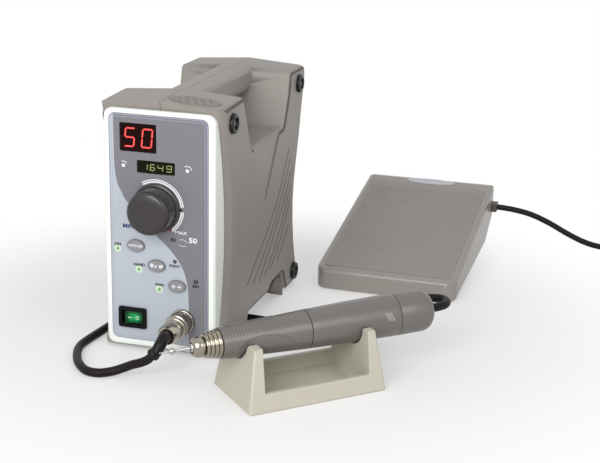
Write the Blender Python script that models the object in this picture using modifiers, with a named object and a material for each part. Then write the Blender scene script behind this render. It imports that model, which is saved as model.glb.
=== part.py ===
# Dental lab micromotor set: control unit, motor handpiece on its cradle, and foot pedal.
# Metres, +Z up. The unit's front face looks along -Y and its seam lies at X = 0.
import math

import bmesh
import bpy
from mathutils import Matrix, Vector

# Clearances and shared values
GAP = 0.0003
OVERRUN = 0.004
WELD = 0.00001
ROUND_STEPS = 24
SOCKET_STEPS = 18
OVAL_STEPS = 16
BUMPER_STEPS = 14
SMALL_STEPS = 12
LAMP_STEPS = 8
BUR_HOLE_STEPS = 6
STEM_STEPS = 10
ROUTE_STEPS = 24
BOW_STEPS = 10
EDGE_STEPS = 2
SMOOTH_ANGLE = math.radians(35)
LEAST_MITRE_SHARE = 0.3

# Control unit shell
UNIT_WIDTH = 0.088
UNIT_HEIGHT = 0.1735
UNIT_DEPTH = 0.1925
SHELL_WALL = 0.0026
SHELL_EDGE = 0.0032
SHELL_LIFT = 0.0025
CROWN = 0.0028
CROWN_START_SHARE = 0.94
FRONT_CHAMFER = 0.0033
SMALL_ROUND = 0.0040
HEEL_SHARE = 0.962
DECK_REAR_Y = 0.046
DECK_RISE = 0.0015
BLOCK_LENGTH = 0.0405
BLOCK_FRONT_Y = UNIT_DEPTH - BLOCK_LENGTH
VALLEY_DROP = 0.0390
VALLEY_FLOOR_Z = UNIT_HEIGHT - VALLEY_DROP
VALLEY_FRONT_Y = 0.0640
COLUMN_LEAN = 0.0150
VALLEY_REAR_Y = BLOCK_FRONT_Y - COLUMN_LEAN
VALLEY_FILLET = 0.005
BLOCK_CORNER = 0.0060
KNEE_SET_BACK = 0.0045
KNEE_DROP = 0.0175
COLUMN_KNEE_Y = BLOCK_FRONT_Y - KNEE_SET_BACK
COLUMN_KNEE_Z = UNIT_HEIGHT - KNEE_DROP
COLUMN_ROUND = 0.0300
ARCH_Z = 0.0150
ARCH_FRONT_Y = 0.0570
HEEL_LENGTH = 0.0435
ARCH_REAR_Y = UNIT_DEPTH - HEEL_LENGTH
ARCH_HUMP_Z = 0.0195
ARCH_SLOPE = 0.0042
HUMP_SHARE = 0.85
HUMP_ROUND = 0.0070
FOOT_TO_REAR = 0.0660
FOOT_ARCH_Y = UNIT_DEPTH - FOOT_TO_REAR
# The rear wall's hollow curve, as shares of the unit's depth and height, top to bottom
REAR_CURVE_SHARES = (
    (0.990, 0.955), (0.979, 0.900), (0.952, 0.800), (0.929, 0.695), (0.897, 0.590),
    (0.872, 0.500), (0.861, 0.410), (0.864, 0.320), (0.881, 0.215), (0.912, 0.105), (0.945, 0.030),
)

# Carry handle
HANDLE_WIDTH = 0.027
HANDLE_HEIGHT = 0.020
HANDLE_ROUND = 0.0075
HANDLE_REACH = 0.006

# Side wall features
FACET_DEPTH = 0.0011
FACET_TIP_DEPTH_SHARE = 0.491
FACET_TIP_HEIGHT_SHARE = 0.510
FACET_INSET = 0.0060
GROOVE_STEP = 0.0150
GROOVE_RADIUS = 0.0009
# Each slanted groove as shares of the unit's depth and height, rear end first
GROOVE_SHARES = (
    ((0.781, 0.668), (0.660, 0.495), (0.538, 0.389), (0.397, 0.295), (0.284, 0.214)),
    ((0.798, 0.614), (0.705, 0.485), (0.590, 0.370), (0.470, 0.276), (0.353, 0.197)),
    ((0.808, 0.552), (0.735, 0.455), (0.640, 0.365), (0.530, 0.268), (0.424, 0.180)),
    ((0.811, 0.497), (0.740, 0.402), (0.665, 0.320), (0.580, 0.242), (0.491, 0.182)),
    ((0.802, 0.426), (0.740, 0.345), (0.658, 0.255), (0.559, 0.190)),
    ((0.788, 0.315), (0.720, 0.252), (0.648, 0.195)),
)

# Rubber bumpers in the side walls
BUMPER_RADIUS = 0.0068
BUMPER_SEAT_DEPTH = 0.0012
BUMPER_PROUD = 0.0028
BUMPER_ROUND = 0.0016
BUMPER_STEM_RADIUS = 0.0022
BUMPER_STEM_LENGTH = 0.0052
BUMPER_FRONT_Y = 0.0220
BUMPER_DROP = 0.0120
BUMPER_TOP_Z = UNIT_HEIGHT - BUMPER_DROP
REAR_TOP_SET_IN = 0.0200
BUMPER_REAR_TOP_Y = UNIT_DEPTH - REAR_TOP_SET_IN
REAR_LOW_SET_IN = 0.0260
BUMPER_REAR_LOW_Y = UNIT_DEPTH - REAR_LOW_SET_IN
BUMPER_LOW_Z = 0.0130

# Feet under the unit
FRONT_FOOT_MARGIN = 0.0090
FRONT_FOOT_WIDTH = UNIT_WIDTH - FRONT_FOOT_MARGIN * 2
FRONT_FOOT_DEPTH = 0.0120
FRONT_FOOT_Y = 0.0250
REAR_FOOT_RADIUS = 0.0165
REAR_FOOT_THICK = 0.0100
REAR_FOOT_SET_IN = 0.0010

# Bezel and label plate on the front
BEZEL_SIDE_RIM = 0.0044
BEZEL_TOP_RIM = 0.0033
BEZEL_WIDTH = UNIT_WIDTH - BEZEL_SIDE_RIM * 2
BEZEL_LOW_Z = 0.0037
BEZEL_TOP_Z = UNIT_HEIGHT - BEZEL_TOP_RIM
BEZEL_CORNER = 0.0060
BEZEL_EDGE = 0.0022
BEZEL_END_DEPTH = 0.0030
BEZEL_MID_DEPTH = 0.0185
BEZEL_WALL = 0.0026
LABEL_SIDE_MARGIN = 0.0046
LABEL_LOW_MARGIN = 0.0055
LABEL_TOP_MARGIN = 0.0030
LABEL_WIDTH = BEZEL_WIDTH - LABEL_SIDE_MARGIN * 2
LABEL_LOW_Z = BEZEL_LOW_Z + LABEL_LOW_MARGIN
LABEL_TOP_Z = BEZEL_TOP_Z - LABEL_TOP_MARGIN
LABEL_HEIGHT = LABEL_TOP_Z - LABEL_LOW_Z
LABEL_CORNER = 0.0042
LABEL_THICK = 0.0008
LABEL_PROUD = 0.0003
OPENING_MARGIN = 0.0050

# Places on the label, as shares of its width from the seam and of its height from its lower edge
MAIN_WINDOW_SHARE = 0.9009
SMALL_WINDOW_SHARE = -0.0250
KNOB_SHARES = (-0.0214, 0.6063)
BUTTON_SHARES = (("motor", -0.2357, 0.4304), ("mode", -0.0243, 0.3494), ("turn", 0.1857, 0.2677))
LAMP_SHARES = (
    ("on", -0.4300, 0.4076), ("hand", -0.2129, 0.3234), ("foot", 0.1614, 0.3766),
    ("forward", -0.0014, 0.2437), ("reverse", 0.3757, 0.2962),
)
SWITCH_SHARES = (-0.2800, 0.1013)
SOCKET_SHARES = (0.2414, 0.1114)


def label_place(shares):
    """A place on the label, in X and Z."""
    return LABEL_WIDTH * shares[0], LABEL_LOW_Z + LABEL_HEIGHT * shares[1]


# Displays behind the label, the small one just under the main one
MAIN_WIDTH = 0.0262
MAIN_TALL = 0.0195
SMALL_WIDTH = 0.0271
SMALL_TALL = 0.0088
MAIN_SET_IN = 0.0076
WINDOW_SPACE = 0.0051
MAIN_X = MAIN_SET_IN + MAIN_WIDTH / 2 - LABEL_WIDTH / 2
MAIN_Z = LABEL_LOW_Z + LABEL_HEIGHT * MAIN_WINDOW_SHARE
SMALL_X = LABEL_WIDTH * SMALL_WINDOW_SHARE
SMALL_Z = MAIN_Z - (MAIN_TALL + SMALL_TALL) / 2 - WINDOW_SPACE
MAIN_WINDOW = (MAIN_X, MAIN_Z, MAIN_WIDTH, MAIN_TALL)
SMALL_WINDOW = (SMALL_X, SMALL_Z, SMALL_WIDTH, SMALL_TALL)
WINDOW_CORNER = 0.0006
WINDOW_BORDER = 0.0011

# Front board
BOARD_Y = 0.0110
BOARD_THICK = 0.0016
BOARD_SIDE_MARGIN = 0.0015
BOARD_WIDTH = LABEL_WIDTH - BOARD_SIDE_MARGIN * 2
BOSS_RADIUS = 0.0022
BOSS_INSET = 0.0024
CHIP_WIDTH = 0.0180
CHIP_TALL = 0.0090
CHIP_THICK = 0.0025
BOARD_TOP_MARGIN = 0.0032
BOARD_LOW_Z = 0.0420
BOARD_TOP_Z = LABEL_TOP_Z - BOARD_TOP_MARGIN
CHIP_DROP = 0.0250

# Speed knob
KNOB_X, KNOB_Z = label_place(KNOB_SHARES)
KNOB_BASE_RADIUS = 0.0168
KNOB_CAP_RADIUS = 0.0150
KNOB_HEIGHT = 0.0190
KNOB_ROUND = 0.0035
KNOB_DOME = 0.0012
KNOB_FLANGE = 0.0022
KNOB_BORE_DEPTH = 0.0130
KNOB_NUB_RADIUS = 0.0016
KNOB_NUB_ANGLE = math.radians(-97)
SHAFT_RADIUS = 0.0030
SHAFT_FRONT_Y = -0.0125
POT_RADIUS = 0.0085
POT_DEPTH = 0.0090
BUSH_RADIUS = 0.0042
BUSH_FRONT_Y = 0.0010

# Oval push buttons
BUTTON_PLACES = [(name, *label_place(shares)) for name, *shares in BUTTON_SHARES]
BUTTON_WIDTH = 0.0128
BUTTON_TALL = 0.0086
BUTTON_PROUD = 0.0013
BUTTON_ROUND = 0.0006
BUTTON_FLANGE = 0.0010
BUTTON_STEM_RADIUS = 0.0015
BUTTON_TRAVEL = 0.0008
SWITCH_BODY = 0.0046
SWITCH_DEPTH = 0.0022

# Indicator lamps
LED_RADIUS = 0.0014
LED_PROUD = 0.0007
LED_COLLAR_RADIUS = 0.0019
LED_PLACES = [(name, *label_place(shares)) for name, *shares in LAMP_SHARES]

# Mains rocker switch
SWITCH_X, SWITCH_Z = label_place(SWITCH_SHARES)
SWITCH_WIDTH = 0.0203
SWITCH_TALL = 0.0147
SWITCH_FLANGE = 0.0016
SWITCH_CORNER = 0.0012
SWITCH_BORDER = 0.0026
SWITCH_BACK_Y = 0.0160
ROCKER_TILT = math.radians(8)
ROCKER_PIVOT_Y = 0.0055
ROCKER_REACH = 0.0078
ROCKER_HUB = 0.0030
ROCKER_DIP = 0.0012

# Motor socket and plug
SOCKET_X, SOCKET_Z = label_place(SOCKET_SHARES)
SOCKET_RING_RADIUS = 0.0088
SOCKET_RING_THICK = 0.0030
SOCKET_CHAMFER = 0.0006
SOCKET_BARREL_RADIUS = 0.0066
SOCKET_BORE_RADIUS = 0.0054
SOCKET_BACK_Y = 0.0170
PLUG_NOSE_RADIUS = 0.0050
PLUG_NOSE_DEPTH = 0.0080
COUPLING_RADIUS = 0.0084
COUPLING_LENGTH = 0.0130
COUPLING_BORE = 0.0057
PLUG_TAIL_RADIUS = 0.0071
PLUG_TAIL_END_RADIUS = 0.0058
PLUG_TAIL_TAPER = 0.0040
PLUG_LENGTH = 0.0270
KNURL_COUNT = 16
KNURL_RADIUS = 0.0005

# Rear panel
PANEL_OPENING_WIDTH = 0.0560
PANEL_OPENING_LOW_Z = 0.0300
PANEL_OPENING_TOP_Z = 0.0880
PANEL_THICK = 0.0015
PANEL_MARGIN = 0.0050
INLET_WIDTH = 0.0270
INLET_TALL = 0.0200
INLET_X = -0.0080
INLET_Z = 0.0450
INLET_DEPTH = 0.0180
INLET_FLANGE = 0.0020
INLET_WELL = 0.0120
INLET_LIP = 0.0030
INLET_PIN = 0.0020
INLET_PIN_PITCH = 0.0070
PEDAL_SOCKET_X = 0.0120
PEDAL_SOCKET_Z = 0.0730
PEDAL_SOCKET_RADIUS = 0.0080
PEDAL_SOCKET_BORE = 0.0058
PEDAL_SOCKET_DEPTH = 0.0120
FUSE_X = -0.0140
FUSE_Z = 0.0730
FUSE_RADIUS = 0.0065
FUSE_DEPTH = 0.0200
FUSE_CAP_PROUD = 0.0040
FUSE_LIP = 0.0012
FUSE_SLOT = 0.0015

# Chassis, transformer and power board
CHASSIS_SIDE_GAP = 0.0034
CHASSIS_WIDTH = UNIT_WIDTH - (SHELL_WALL + CHASSIS_SIDE_GAP) * 2
CHASSIS_FRONT_Y = 0.0300
CHASSIS_TO_REAR = 0.0395
CHASSIS_REAR_Y = UNIT_DEPTH - CHASSIS_TO_REAR
CHASSIS_THICK = 0.0012
CORE_WIDTH = 0.0600
CORE_DEPTH = 0.0260
CORE_TALL = 0.0500
CORE_TO_REAR = 0.0745
CORE_Y = UNIT_DEPTH - CORE_TO_REAR
COIL_WIDTH = 0.0340
COIL_DEPTH = 0.0440
COIL_TALL = 0.0300
BOARD_TO_CHASSIS_EDGE = 0.0045
POWER_BOARD_WIDTH = CHASSIS_WIDTH - BOARD_TO_CHASSIS_EDGE * 2
POWER_BOARD_SET_IN = 0.0030
POWER_BOARD_FRONT_Y = CHASSIS_FRONT_Y + POWER_BOARD_SET_IN
BOARD_TO_COIL = 0.0060
POWER_BOARD_REAR_Y = CORE_Y - COIL_DEPTH / 2 - BOARD_TO_COIL
POWER_BOARD_RISE = 0.0080
STANDOFF_RADIUS = 0.0030
STANDOFF_INSET = 0.0060
CAPACITOR_RADIUS = 0.0080
CAPACITOR_TALL = 0.0250
SINK_THICK = 0.0150
SINK_TALL = 0.0280
SINK_BASE = 0.0060
SINK_FINS = 5

# Bur rest let into the deck
REST_TO_SEAM = 0.0010
REST_TO_SIDE = 0.0060
REST_LONG = UNIT_WIDTH / 2 - REST_TO_SEAM - REST_TO_SIDE
REST_X = REST_TO_SEAM + REST_LONG / 2
REST_Y = 0.0175
REST_SHORT = 0.0200
REST_THICK = 0.0032
REST_PROUD = 0.0008
REST_HOLE_RADIUS = 0.0013
REST_HOLE_DEPTH = 0.0022
REST_HOLE_PITCH = 0.0056
REST_ROW_PITCH = 0.0062
REST_ROWS = (4, 5, 4)

# Cradle, with U along the handpiece and V across it
CRADLE_X = 0.1065
CRADLE_Y = -0.0216
CRADLE_YAW = math.radians(43.8)
CRADLE_LENGTH = 0.0980
CRADLE_WIDTH = 0.0566
CRADLE_HEIGHT = 0.0475
CRADLE_END_SLOPE = 0.0060
CRADLE_SIDE_SLOPE = 0.0062
CRADLE_EDGE = 0.0012
CRADLE_PEAK_ROUND = 0.0036
CRADLE_END_WALL = 0.0118
CRADLE_RAIL_HEIGHT = 0.0125
CRADLE_RAIL_WALL = 0.0042
CRADLE_FLOOR = 0.0030
CRADLE_MOUTH = 0.0035
SADDLE_GAP = 0.0004

# Handpiece along its own axis: each S is a distance behind the cradle's middle
AXIS_Z = 0.0402
NOSE_FRONT_S = -0.0760
NOSE_STEP_S = -0.0685
NOSE_REAR_S = -0.0580
GRIP_REAR_S = 0.0030
MOTOR_MID_S = 0.0300
MOTOR_REAR_S = 0.0680
CAP_REAR_S = 0.0965
CAP_ROUND = 0.0085
NOSE_TIP_RADIUS = 0.0050
NOSE_STEP_RADIUS = 0.0076
NOSE_REAR_RADIUS = 0.0096
NOSE_GROOVE = 0.0007
NOSE_RING_COUNT = 3
GRIP_FRONT_RADIUS = 0.0100
GRIP_REAR_RADIUS = 0.0128
MOTOR_MID_RADIUS = 0.0137
MOTOR_REAR_RADIUS = 0.0143
SEAM_CHAMFER = 0.0004
CASE_WALL = 0.0016
NOSE_BORE = 0.0034
SPIGOT_LENGTH = 0.0080
COLLET_RADIUS = 0.0030
COLLET_BORE = 0.0015
COLLET_PROUD = 0.0010
COLLET_REAR_S = -0.0400
COLLET_SEAT_DEPTH = 0.0080
BUR_SHANK_RADIUS = 0.0012
BUR_TIP_S = -0.0975
BUR_HEAD_S = -0.0890
BUR_HEAD_RADIUS = 0.0021
BUR_NECK_RADIUS = 0.0009
BUR_REAR_S = -0.0520
SPINDLE_RADIUS = 0.0028
SPINDLE_HEAD_RADIUS = 0.0042
SPINDLE_HEAD_LENGTH = 0.0200
SPINDLE_REAR_S = 0.0640
ROTOR_RADIUS = 0.0070
ROTOR_FRONT_S = 0.0130
ROTOR_REAR_S = 0.0500
STATOR_RADIUS = 0.0108
STATOR_BORE = 0.0075
STATOR_OVERHANG = 0.0020
BEARING_RADIUS = 0.0071
BEARING_WIDTH = 0.0050
FRONT_BEARING_S = -0.0240
REAR_BEARING_S = 0.0560
TUBE_WALL = 0.0009
RIB_COUNT = 9
RIB_PITCH = 0.0036
RIB_RADIUS = 0.0007
RIB_FRONT_S = -0.0540
RIB_SWEEP = math.radians(55)

# Pedal, measured from the front edge of its cover
PEDAL_X = 0.1180
PEDAL_FRONT_Y = 0.1678
PEDAL_WIDTH = 0.1120
PEDAL_DEPTH = 0.1820
PEDAL_FRONT_HEIGHT = 0.0172
PEDAL_REAR_HEIGHT = 0.0520
PEDAL_LIFT = 0.0010
KNEE_TO_TOE = 0.0415
PEDAL_KNEE_Y = PEDAL_DEPTH - KNEE_TO_TOE
PEDAL_KNEE_Z = 0.0067
STEP_TO_TOE = 0.0328
PEDAL_STEP_Y = PEDAL_DEPTH - STEP_TO_TOE
PEDAL_STEP_Z = 0.0110
PEDAL_TAIL_Z = 0.0270
PEDAL_CORNER = 0.0100
PEDAL_EDGE = 0.0030
PEDAL_NOSE_ROUND = 0.0050
PEDAL_TOE_ROUND = 0.0080
PEDAL_WALL = 0.0028
BASE_GAP = 0.0012
BASE_WALL = 0.0025
BASE_FLOOR = 0.0030
BASE_FRONT_HEIGHT = 0.0105
BASE_REAR_HEIGHT = 0.0200
BASE_TO_TOE = 0.0440
BASE_REAR_Y = PEDAL_DEPTH - BASE_TO_TOE
HINGE_Y = 0.0140
HINGE_Z = 0.0068
HINGE_RADIUS = 0.0020
HINGE_HOLE_WALL = 0.0010
PEDAL_TRAVEL = math.radians(2.2)
CONTACT_TO_TOE = 0.0600
CONTACT_Y = PEDAL_DEPTH - CONTACT_TO_TOE
CONTACT_X = 0.0200
CONTACT_WIDTH = 0.0140
CONTACT_DEPTH = 0.0090
CONTACT_HEIGHT = 0.0220
PLUNGER_RADIUS = 0.0030
MAT_SIDE_MARGIN = 0.0090
MAT_TOE_MARGIN = 0.0210
MAT_NOSE_MARGIN = 0.0180
MAT_CORNER = 0.0040
MAT_THICK = 0.0016
MAT_SEAT = 0.0006
MAT_RIB_COUNT = 20
MAT_RIB_RISE = 0.0005
MAT_BORDER = 0.0050
SPRING_TO_TOE = 0.0820
SPRING_Y = PEDAL_DEPTH - SPRING_TO_TOE
SPRING_RADIUS = 0.0055
SPRING_WIRE = 0.0008
SPRING_TURNS = 5
SPRING_POST_RADIUS = 0.0038
SPRING_POST_HEIGHT = 0.0060
GLAND_TO_TOE = 0.0138
GLAND_Y = PEDAL_DEPTH - GLAND_TO_TOE
GLAND_Z = 0.0330
GLAND_LENGTH = 0.0100
GLAND_TALL = 0.0070
GLAND_PROUD = 0.0045

# Cords
CORD_RADIUS = 0.0030
CORD_STEP = 0.0140
BOOT_START_RADIUS = 0.0041
BOOT_END_RADIUS = 0.0038
PEDAL_CORD_RADIUS = 0.0025
PEDAL_CORD_STEP = 0.0130
COIL_X = 0.3220
COIL_Y = 0.3110
COIL_OUTER = 0.0375
COIL_PITCH = 0.0056
COIL_TURNS_IN = 3.25
COIL_TURNS_OUT = 3.50
COIL_TAIL = 0.0300
COIL_STEPS = 24
PEDAL_PLUG_RADIUS = 0.0062
PEDAL_PLUG_LENGTH = 0.0300
PEDAL_PLUG_NOSE_RADIUS = 0.0048
PEDAL_PLUG_NOSE_LENGTH = 0.0090
PEDAL_BOOT_LENGTH = 0.0160


# The two collections, and the empties that carry the parts

for old in list(bpy.data.objects):
    bpy.data.objects.remove(old, do_unlink=True)

part_collection = bpy.data.collections.new("dental_lab_micromotor")
cutter_collection = bpy.data.collections.new("cutters")
bpy.context.scene.collection.children.link(part_collection)
bpy.context.scene.collection.children.link(cutter_collection)

set_origin = bpy.data.objects.new("set_origin", None)
bpy.context.scene.collection.objects.link(set_origin)
materials = {}


def finish(name, colour, roughness, metallic=0.0):
    material = bpy.data.materials.new(name)
    material.use_nodes = True
    shader = material.node_tree.nodes["Principled BSDF"]
    shader.inputs["Base Color"].default_value = (*colour, 1.0)
    shader.inputs["Roughness"].default_value = roughness
    shader.inputs["Metallic"].default_value = metallic
    materials[name] = material


finish("shell_grey", (0.26, 0.24, 0.22), 0.50)
finish("bezel_white", (0.72, 0.72, 0.66), 0.40)
finish("label_grey", (0.24, 0.23, 0.26), 0.35)
finish("window_dark", (0.03, 0.005, 0.005), 0.15)
finish("knob_brown", (0.045, 0.035, 0.035), 0.40)
finish("rubber_black", (0.012, 0.012, 0.012), 0.70)
finish("plastic_black", (0.02, 0.02, 0.02), 0.45)
finish("lamp_green", (0.10, 0.35, 0.06), 0.25)
finish("rocker_green", (0.02, 0.35, 0.06), 0.25)
finish("nickel", (0.66, 0.65, 0.62), 0.22, 1.0)
finish("steel", (0.55, 0.55, 0.55), 0.35, 1.0)
finish("aluminium", (0.60, 0.60, 0.60), 0.45, 1.0)
finish("copper", (0.60, 0.25, 0.12), 0.40, 1.0)
finish("board_green", (0.03, 0.14, 0.06), 0.50)
finish("handpiece_grey", (0.14, 0.135, 0.13), 0.42)
finish("cradle_beige", (0.55, 0.51, 0.41), 0.50)
finish("mat_grey", (0.25, 0.235, 0.22), 0.65)


# General modelling helpers

def adopt(item, name, finish_name, carrier=None):
    """Give a finished object its name, material, collection and parent."""
    item.name = name
    item.data.name = name
    item.data.materials.clear()
    item.data.materials.append(materials[finish_name].copy())
    for collection in list(item.users_collection):
        collection.objects.unlink(item)
    part_collection.objects.link(item)
    item.parent = carrier or set_origin
    for face in item.data.polygons:
        face.use_smooth = True
    item.data.set_sharp_from_angle(angle=SMOOTH_ANGLE)
    return item


def new_object(name, mesh):
    item = bpy.data.objects.new(name, mesh)
    bpy.context.scene.collection.objects.link(item)
    return item


def frozen(item, name):
    """Turn a curve, or a mesh with modifiers, into a plain welded mesh with no pinhole left in it."""
    bpy.context.view_layer.update()
    evaluated = item.evaluated_get(bpy.context.evaluated_depsgraph_get())
    mesh = bpy.data.meshes.new_from_object(evaluated)
    result = new_object(name, mesh)
    result.matrix_world = item.matrix_world.copy()
    bpy.data.objects.remove(item, do_unlink=True)
    shape = bmesh.new()
    shape.from_mesh(mesh)
    bmesh.ops.remove_doubles(shape, verts=shape.verts, dist=WELD)
    pinholes = [edge for edge in shape.edges if len(edge.link_faces) == 1]
    bmesh.ops.holes_fill(shape, edges=pinholes, sides=3)
    bmesh.ops.recalc_face_normals(shape, faces=shape.faces)
    shape.to_mesh(mesh)
    shape.free()
    return result


def box(name, low, high):
    """A plain block between two corners."""
    mesh = bpy.data.meshes.new(name)
    shape = bmesh.new()
    bmesh.ops.create_cube(shape, size=1.0)
    size = Vector(high) - Vector(low)
    middle = (Vector(high) + Vector(low)) / 2
    bmesh.ops.scale(shape, vec=size, verts=shape.verts)
    bmesh.ops.translate(shape, vec=middle, verts=shape.verts)
    shape.to_mesh(mesh)
    shape.free()
    return new_object(name, mesh)


def rod(name, radius, start, end, steps=SMALL_STEPS, end_radius=None):
    """A cylinder or cone between two points."""
    start = Vector(start)
    end = Vector(end)
    mesh = bpy.data.meshes.new(name)
    shape = bmesh.new()
    last_radius = radius if end_radius is None else end_radius
    length = (end - start).length
    bmesh.ops.create_cone(
        shape, cap_ends=True, segments=steps, radius1=radius, radius2=last_radius, depth=length)
    turn = (end - start).to_track_quat("Z", "Y").to_matrix().to_4x4()
    bmesh.ops.transform(shape, matrix=Matrix.Translation((start + end) / 2) @ turn, verts=shape.verts)
    shape.to_mesh(mesh)
    shape.free()
    return new_object(name, mesh)


def rounded_outline(corners, arc_steps=5):
    """Replace each corner (x, y, radius) of a closed outline by an arc."""
    points = []
    count = len(corners)
    for index in range(count):
        here = Vector(corners[index][:2])
        radius = corners[index][2]
        if radius <= 0:
            points.append(tuple(here))
            continue
        before = (Vector(corners[index - 1][:2]) - here).normalized()
        after = (Vector(corners[(index + 1) % count][:2]) - here).normalized()
        half = before.angle(after) / 2
        reach = radius / math.tan(half)
        centre = here + (before + after).normalized() * radius / math.sin(half)
        first = here + before * reach - centre
        last = here + after * reach - centre
        turn = math.atan2(first.cross(last), first.dot(last))
        for step in range(arc_steps + 1):
            angle = turn * step / arc_steps
            cosine = math.cos(angle)
            sine = math.sin(angle)
            spoke = Vector((first.x * cosine - first.y * sine, first.x * sine + first.y * cosine))
            points.append(tuple(centre + spoke))
    return points


def rectangle(low_x, low_y, high_x, high_y, radius, arc_steps=5):
    corners = (
        (low_x, low_y, radius), (high_x, low_y, radius),
        (high_x, high_y, radius), (low_x, high_y, radius),
    )
    return rounded_outline(corners, arc_steps)


def ellipse(centre_x, centre_y, half_x, half_y, steps=OVAL_STEPS):
    return [
        (centre_x + half_x * math.cos(math.tau * step / steps),
         centre_y + half_y * math.sin(math.tau * step / steps))
        for step in range(steps)
    ]


# Outlines drawn in local X and Y, then laid on one of these planes
AXES = {
    "top": Matrix(((1, 0, 0, 0), (0, 1, 0, 0), (0, 0, 1, 0), (0, 0, 0, 1))),
    "front": Matrix(((1, 0, 0, 0), (0, 0, -1, 0), (0, 1, 0, 0), (0, 0, 0, 1))),
    "side": Matrix(((0, 0, 1, 0), (1, 0, 0, 0), (0, 1, 0, 0), (0, 0, 0, 1))),
}


def slab(name, outline, plane, low, high, edge=0.0):
    """Extrude a closed outline from low to high across its plane, with rounded edges."""
    curve = bpy.data.curves.new(name, "CURVE")
    curve.dimensions = "2D"
    curve.fill_mode = "BOTH"
    curve.extrude = (high - low) / 2 - edge
    curve.bevel_depth = edge
    curve.bevel_resolution = EDGE_STEPS - 1
    curve.offset = -edge
    spline = curve.splines.new("POLY")
    spline.points.add(len(outline) - 1)
    for point, (x, y) in zip(spline.points, outline):
        point.co = (x, y, 0, 1)
    spline.use_cyclic_u = True
    drawn = new_object(name, curve)
    direction = -1 if plane == "front" else 1
    lift = Matrix.Translation((0, 0, direction * (high + low) / 2))
    drawn.matrix_world = AXES[plane] @ lift
    solid = frozen(drawn, name)
    solid.data.transform(solid.matrix_world)
    solid.matrix_world = Matrix.Identity(4)
    return solid


def turned(name, profile, steps=ROUND_STEPS, closed=False):
    """Turn a profile of (radius, height) points about Z; it runs from top to bottom."""
    mesh = bpy.data.meshes.new(name)
    verts = [(radius, 0, height) for radius, height in profile]
    edges = [(index, index + 1) for index in range(len(verts) - 1)]
    if closed:
        edges.append((len(verts) - 1, 0))
    mesh.from_pydata(verts, edges, [])
    item = new_object(name, mesh)
    screw = item.modifiers.new("turn", "SCREW")
    screw.axis = "Z"
    screw.angle = math.tau
    screw.steps = steps
    screw.render_steps = steps
    screw.use_merge_vertices = True
    screw.merge_threshold = WELD
    return frozen(item, name)


def tube(name, points, radius, sides=2, radii=None):
    """A round tube along a list of points."""
    curve = bpy.data.curves.new(name, "CURVE")
    curve.dimensions = "3D"
    curve.bevel_depth = radius
    curve.bevel_resolution = sides
    curve.use_fill_caps = True
    spline = curve.splines.new("POLY")
    spline.points.add(len(points) - 1)
    for index, point in enumerate(points):
        spline.points[index].co = (*point, 1)
        if radii:
            spline.points[index].radius = radii[index] / radius
    return frozen(new_object(name, curve), name)


def smooth_route(points, spacing):
    """Read evenly spaced points from a smooth curve through the route's own points."""
    points = [Vector(point) for point in points]
    ends = [points[0] * 2 - points[1], *points, points[-1] * 2 - points[-2]]
    fine = []
    for index in range(1, len(ends) - 2):
        p0, p1, p2, p3 = ends[index - 1:index + 3]
        for step in range(ROUTE_STEPS):
            t = step / ROUTE_STEPS
            fine.append(0.5 * ((2 * p1) + (p2 - p0) * t + (2 * p0 - 5 * p1 + 4 * p2 - p3) * t * t
                               + (3 * p1 - p0 - 3 * p2 + p3) * t * t * t))
    fine.append(points[-1])
    total = sum((b - a).length for a, b in zip(fine, fine[1:]))
    count = max(2, round(total / spacing))
    result = [fine[0]]
    travelled = 0.0
    for a, b in zip(fine, fine[1:]):
        step = (b - a).length
        while len(result) < count and travelled + step >= total * len(result) / count:
            share = (total * len(result) / count - travelled) / step
            result.append(a.lerp(b, share))
        travelled += step
    result.append(fine[-1])
    return result, total


def with_straight_ends(points, route, length):
    """Give a smoothed route a short straight stretch at each end, along the route's own ends."""
    first = (Vector(route[1]) - Vector(route[0])).normalized() * length
    last = (Vector(route[-1]) - Vector(route[-2])).normalized() * length
    return [points[0], points[0] + first, *points[1:-1], points[-1] - last, points[-1]]


def combine(item, tool, operation="DIFFERENCE"):
    """Cut, join or keep what is common with another solid."""
    change = item.modifiers.new(tool.name, "BOOLEAN")
    change.operation = operation
    change.solver = "EXACT"
    change.object = tool
    return item


def joined(name, pieces):
    """Unite several overlapping solids into one plain mesh."""
    base = pieces[0]
    for piece in pieces[1:]:
        combine(base, piece, "UNION")
    result = frozen(base, name)
    for piece in pieces[1:]:
        bpy.data.objects.remove(piece, do_unlink=True)
    return result


def cut(name, item, tools):
    """Cut several tools out of a solid and keep a plain mesh."""
    for tool in tools:
        combine(item, tool)
    result = frozen(item, name)
    for tool in tools:
        bpy.data.objects.remove(tool, do_unlink=True)
    return result


def copy_of(item, name):
    twin = item.copy()
    twin.data = item.data.copy()
    twin.name = name
    bpy.context.scene.collection.objects.link(twin)
    return twin


def set_pivot(item, point):
    """Move an object's origin to a point without moving its mesh."""
    item.data.transform(Matrix.Translation(-Vector(point)))
    item.location = Vector(point)
    return item


def arc_points(centre, radius, start, end, steps):
    """Points on an arc about a centre, from one angle to another."""
    return [
        (centre[0] + radius * math.cos(start + (end - start) * step / steps),
         centre[1] + radius * math.sin(start + (end - start) * step / steps))
        for step in range(steps + 1)
    ]


def aimed(item, point, direction):
    """Lay a solid that was made about +Z at the origin along a direction, from a point."""
    turn = Vector(direction).to_track_quat("Z", "Y").to_matrix().to_4x4()
    item.data.transform(Matrix.Translation(Vector(point)) @ turn)
    return item


# Control unit shell: one body, later parted along the seam

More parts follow.
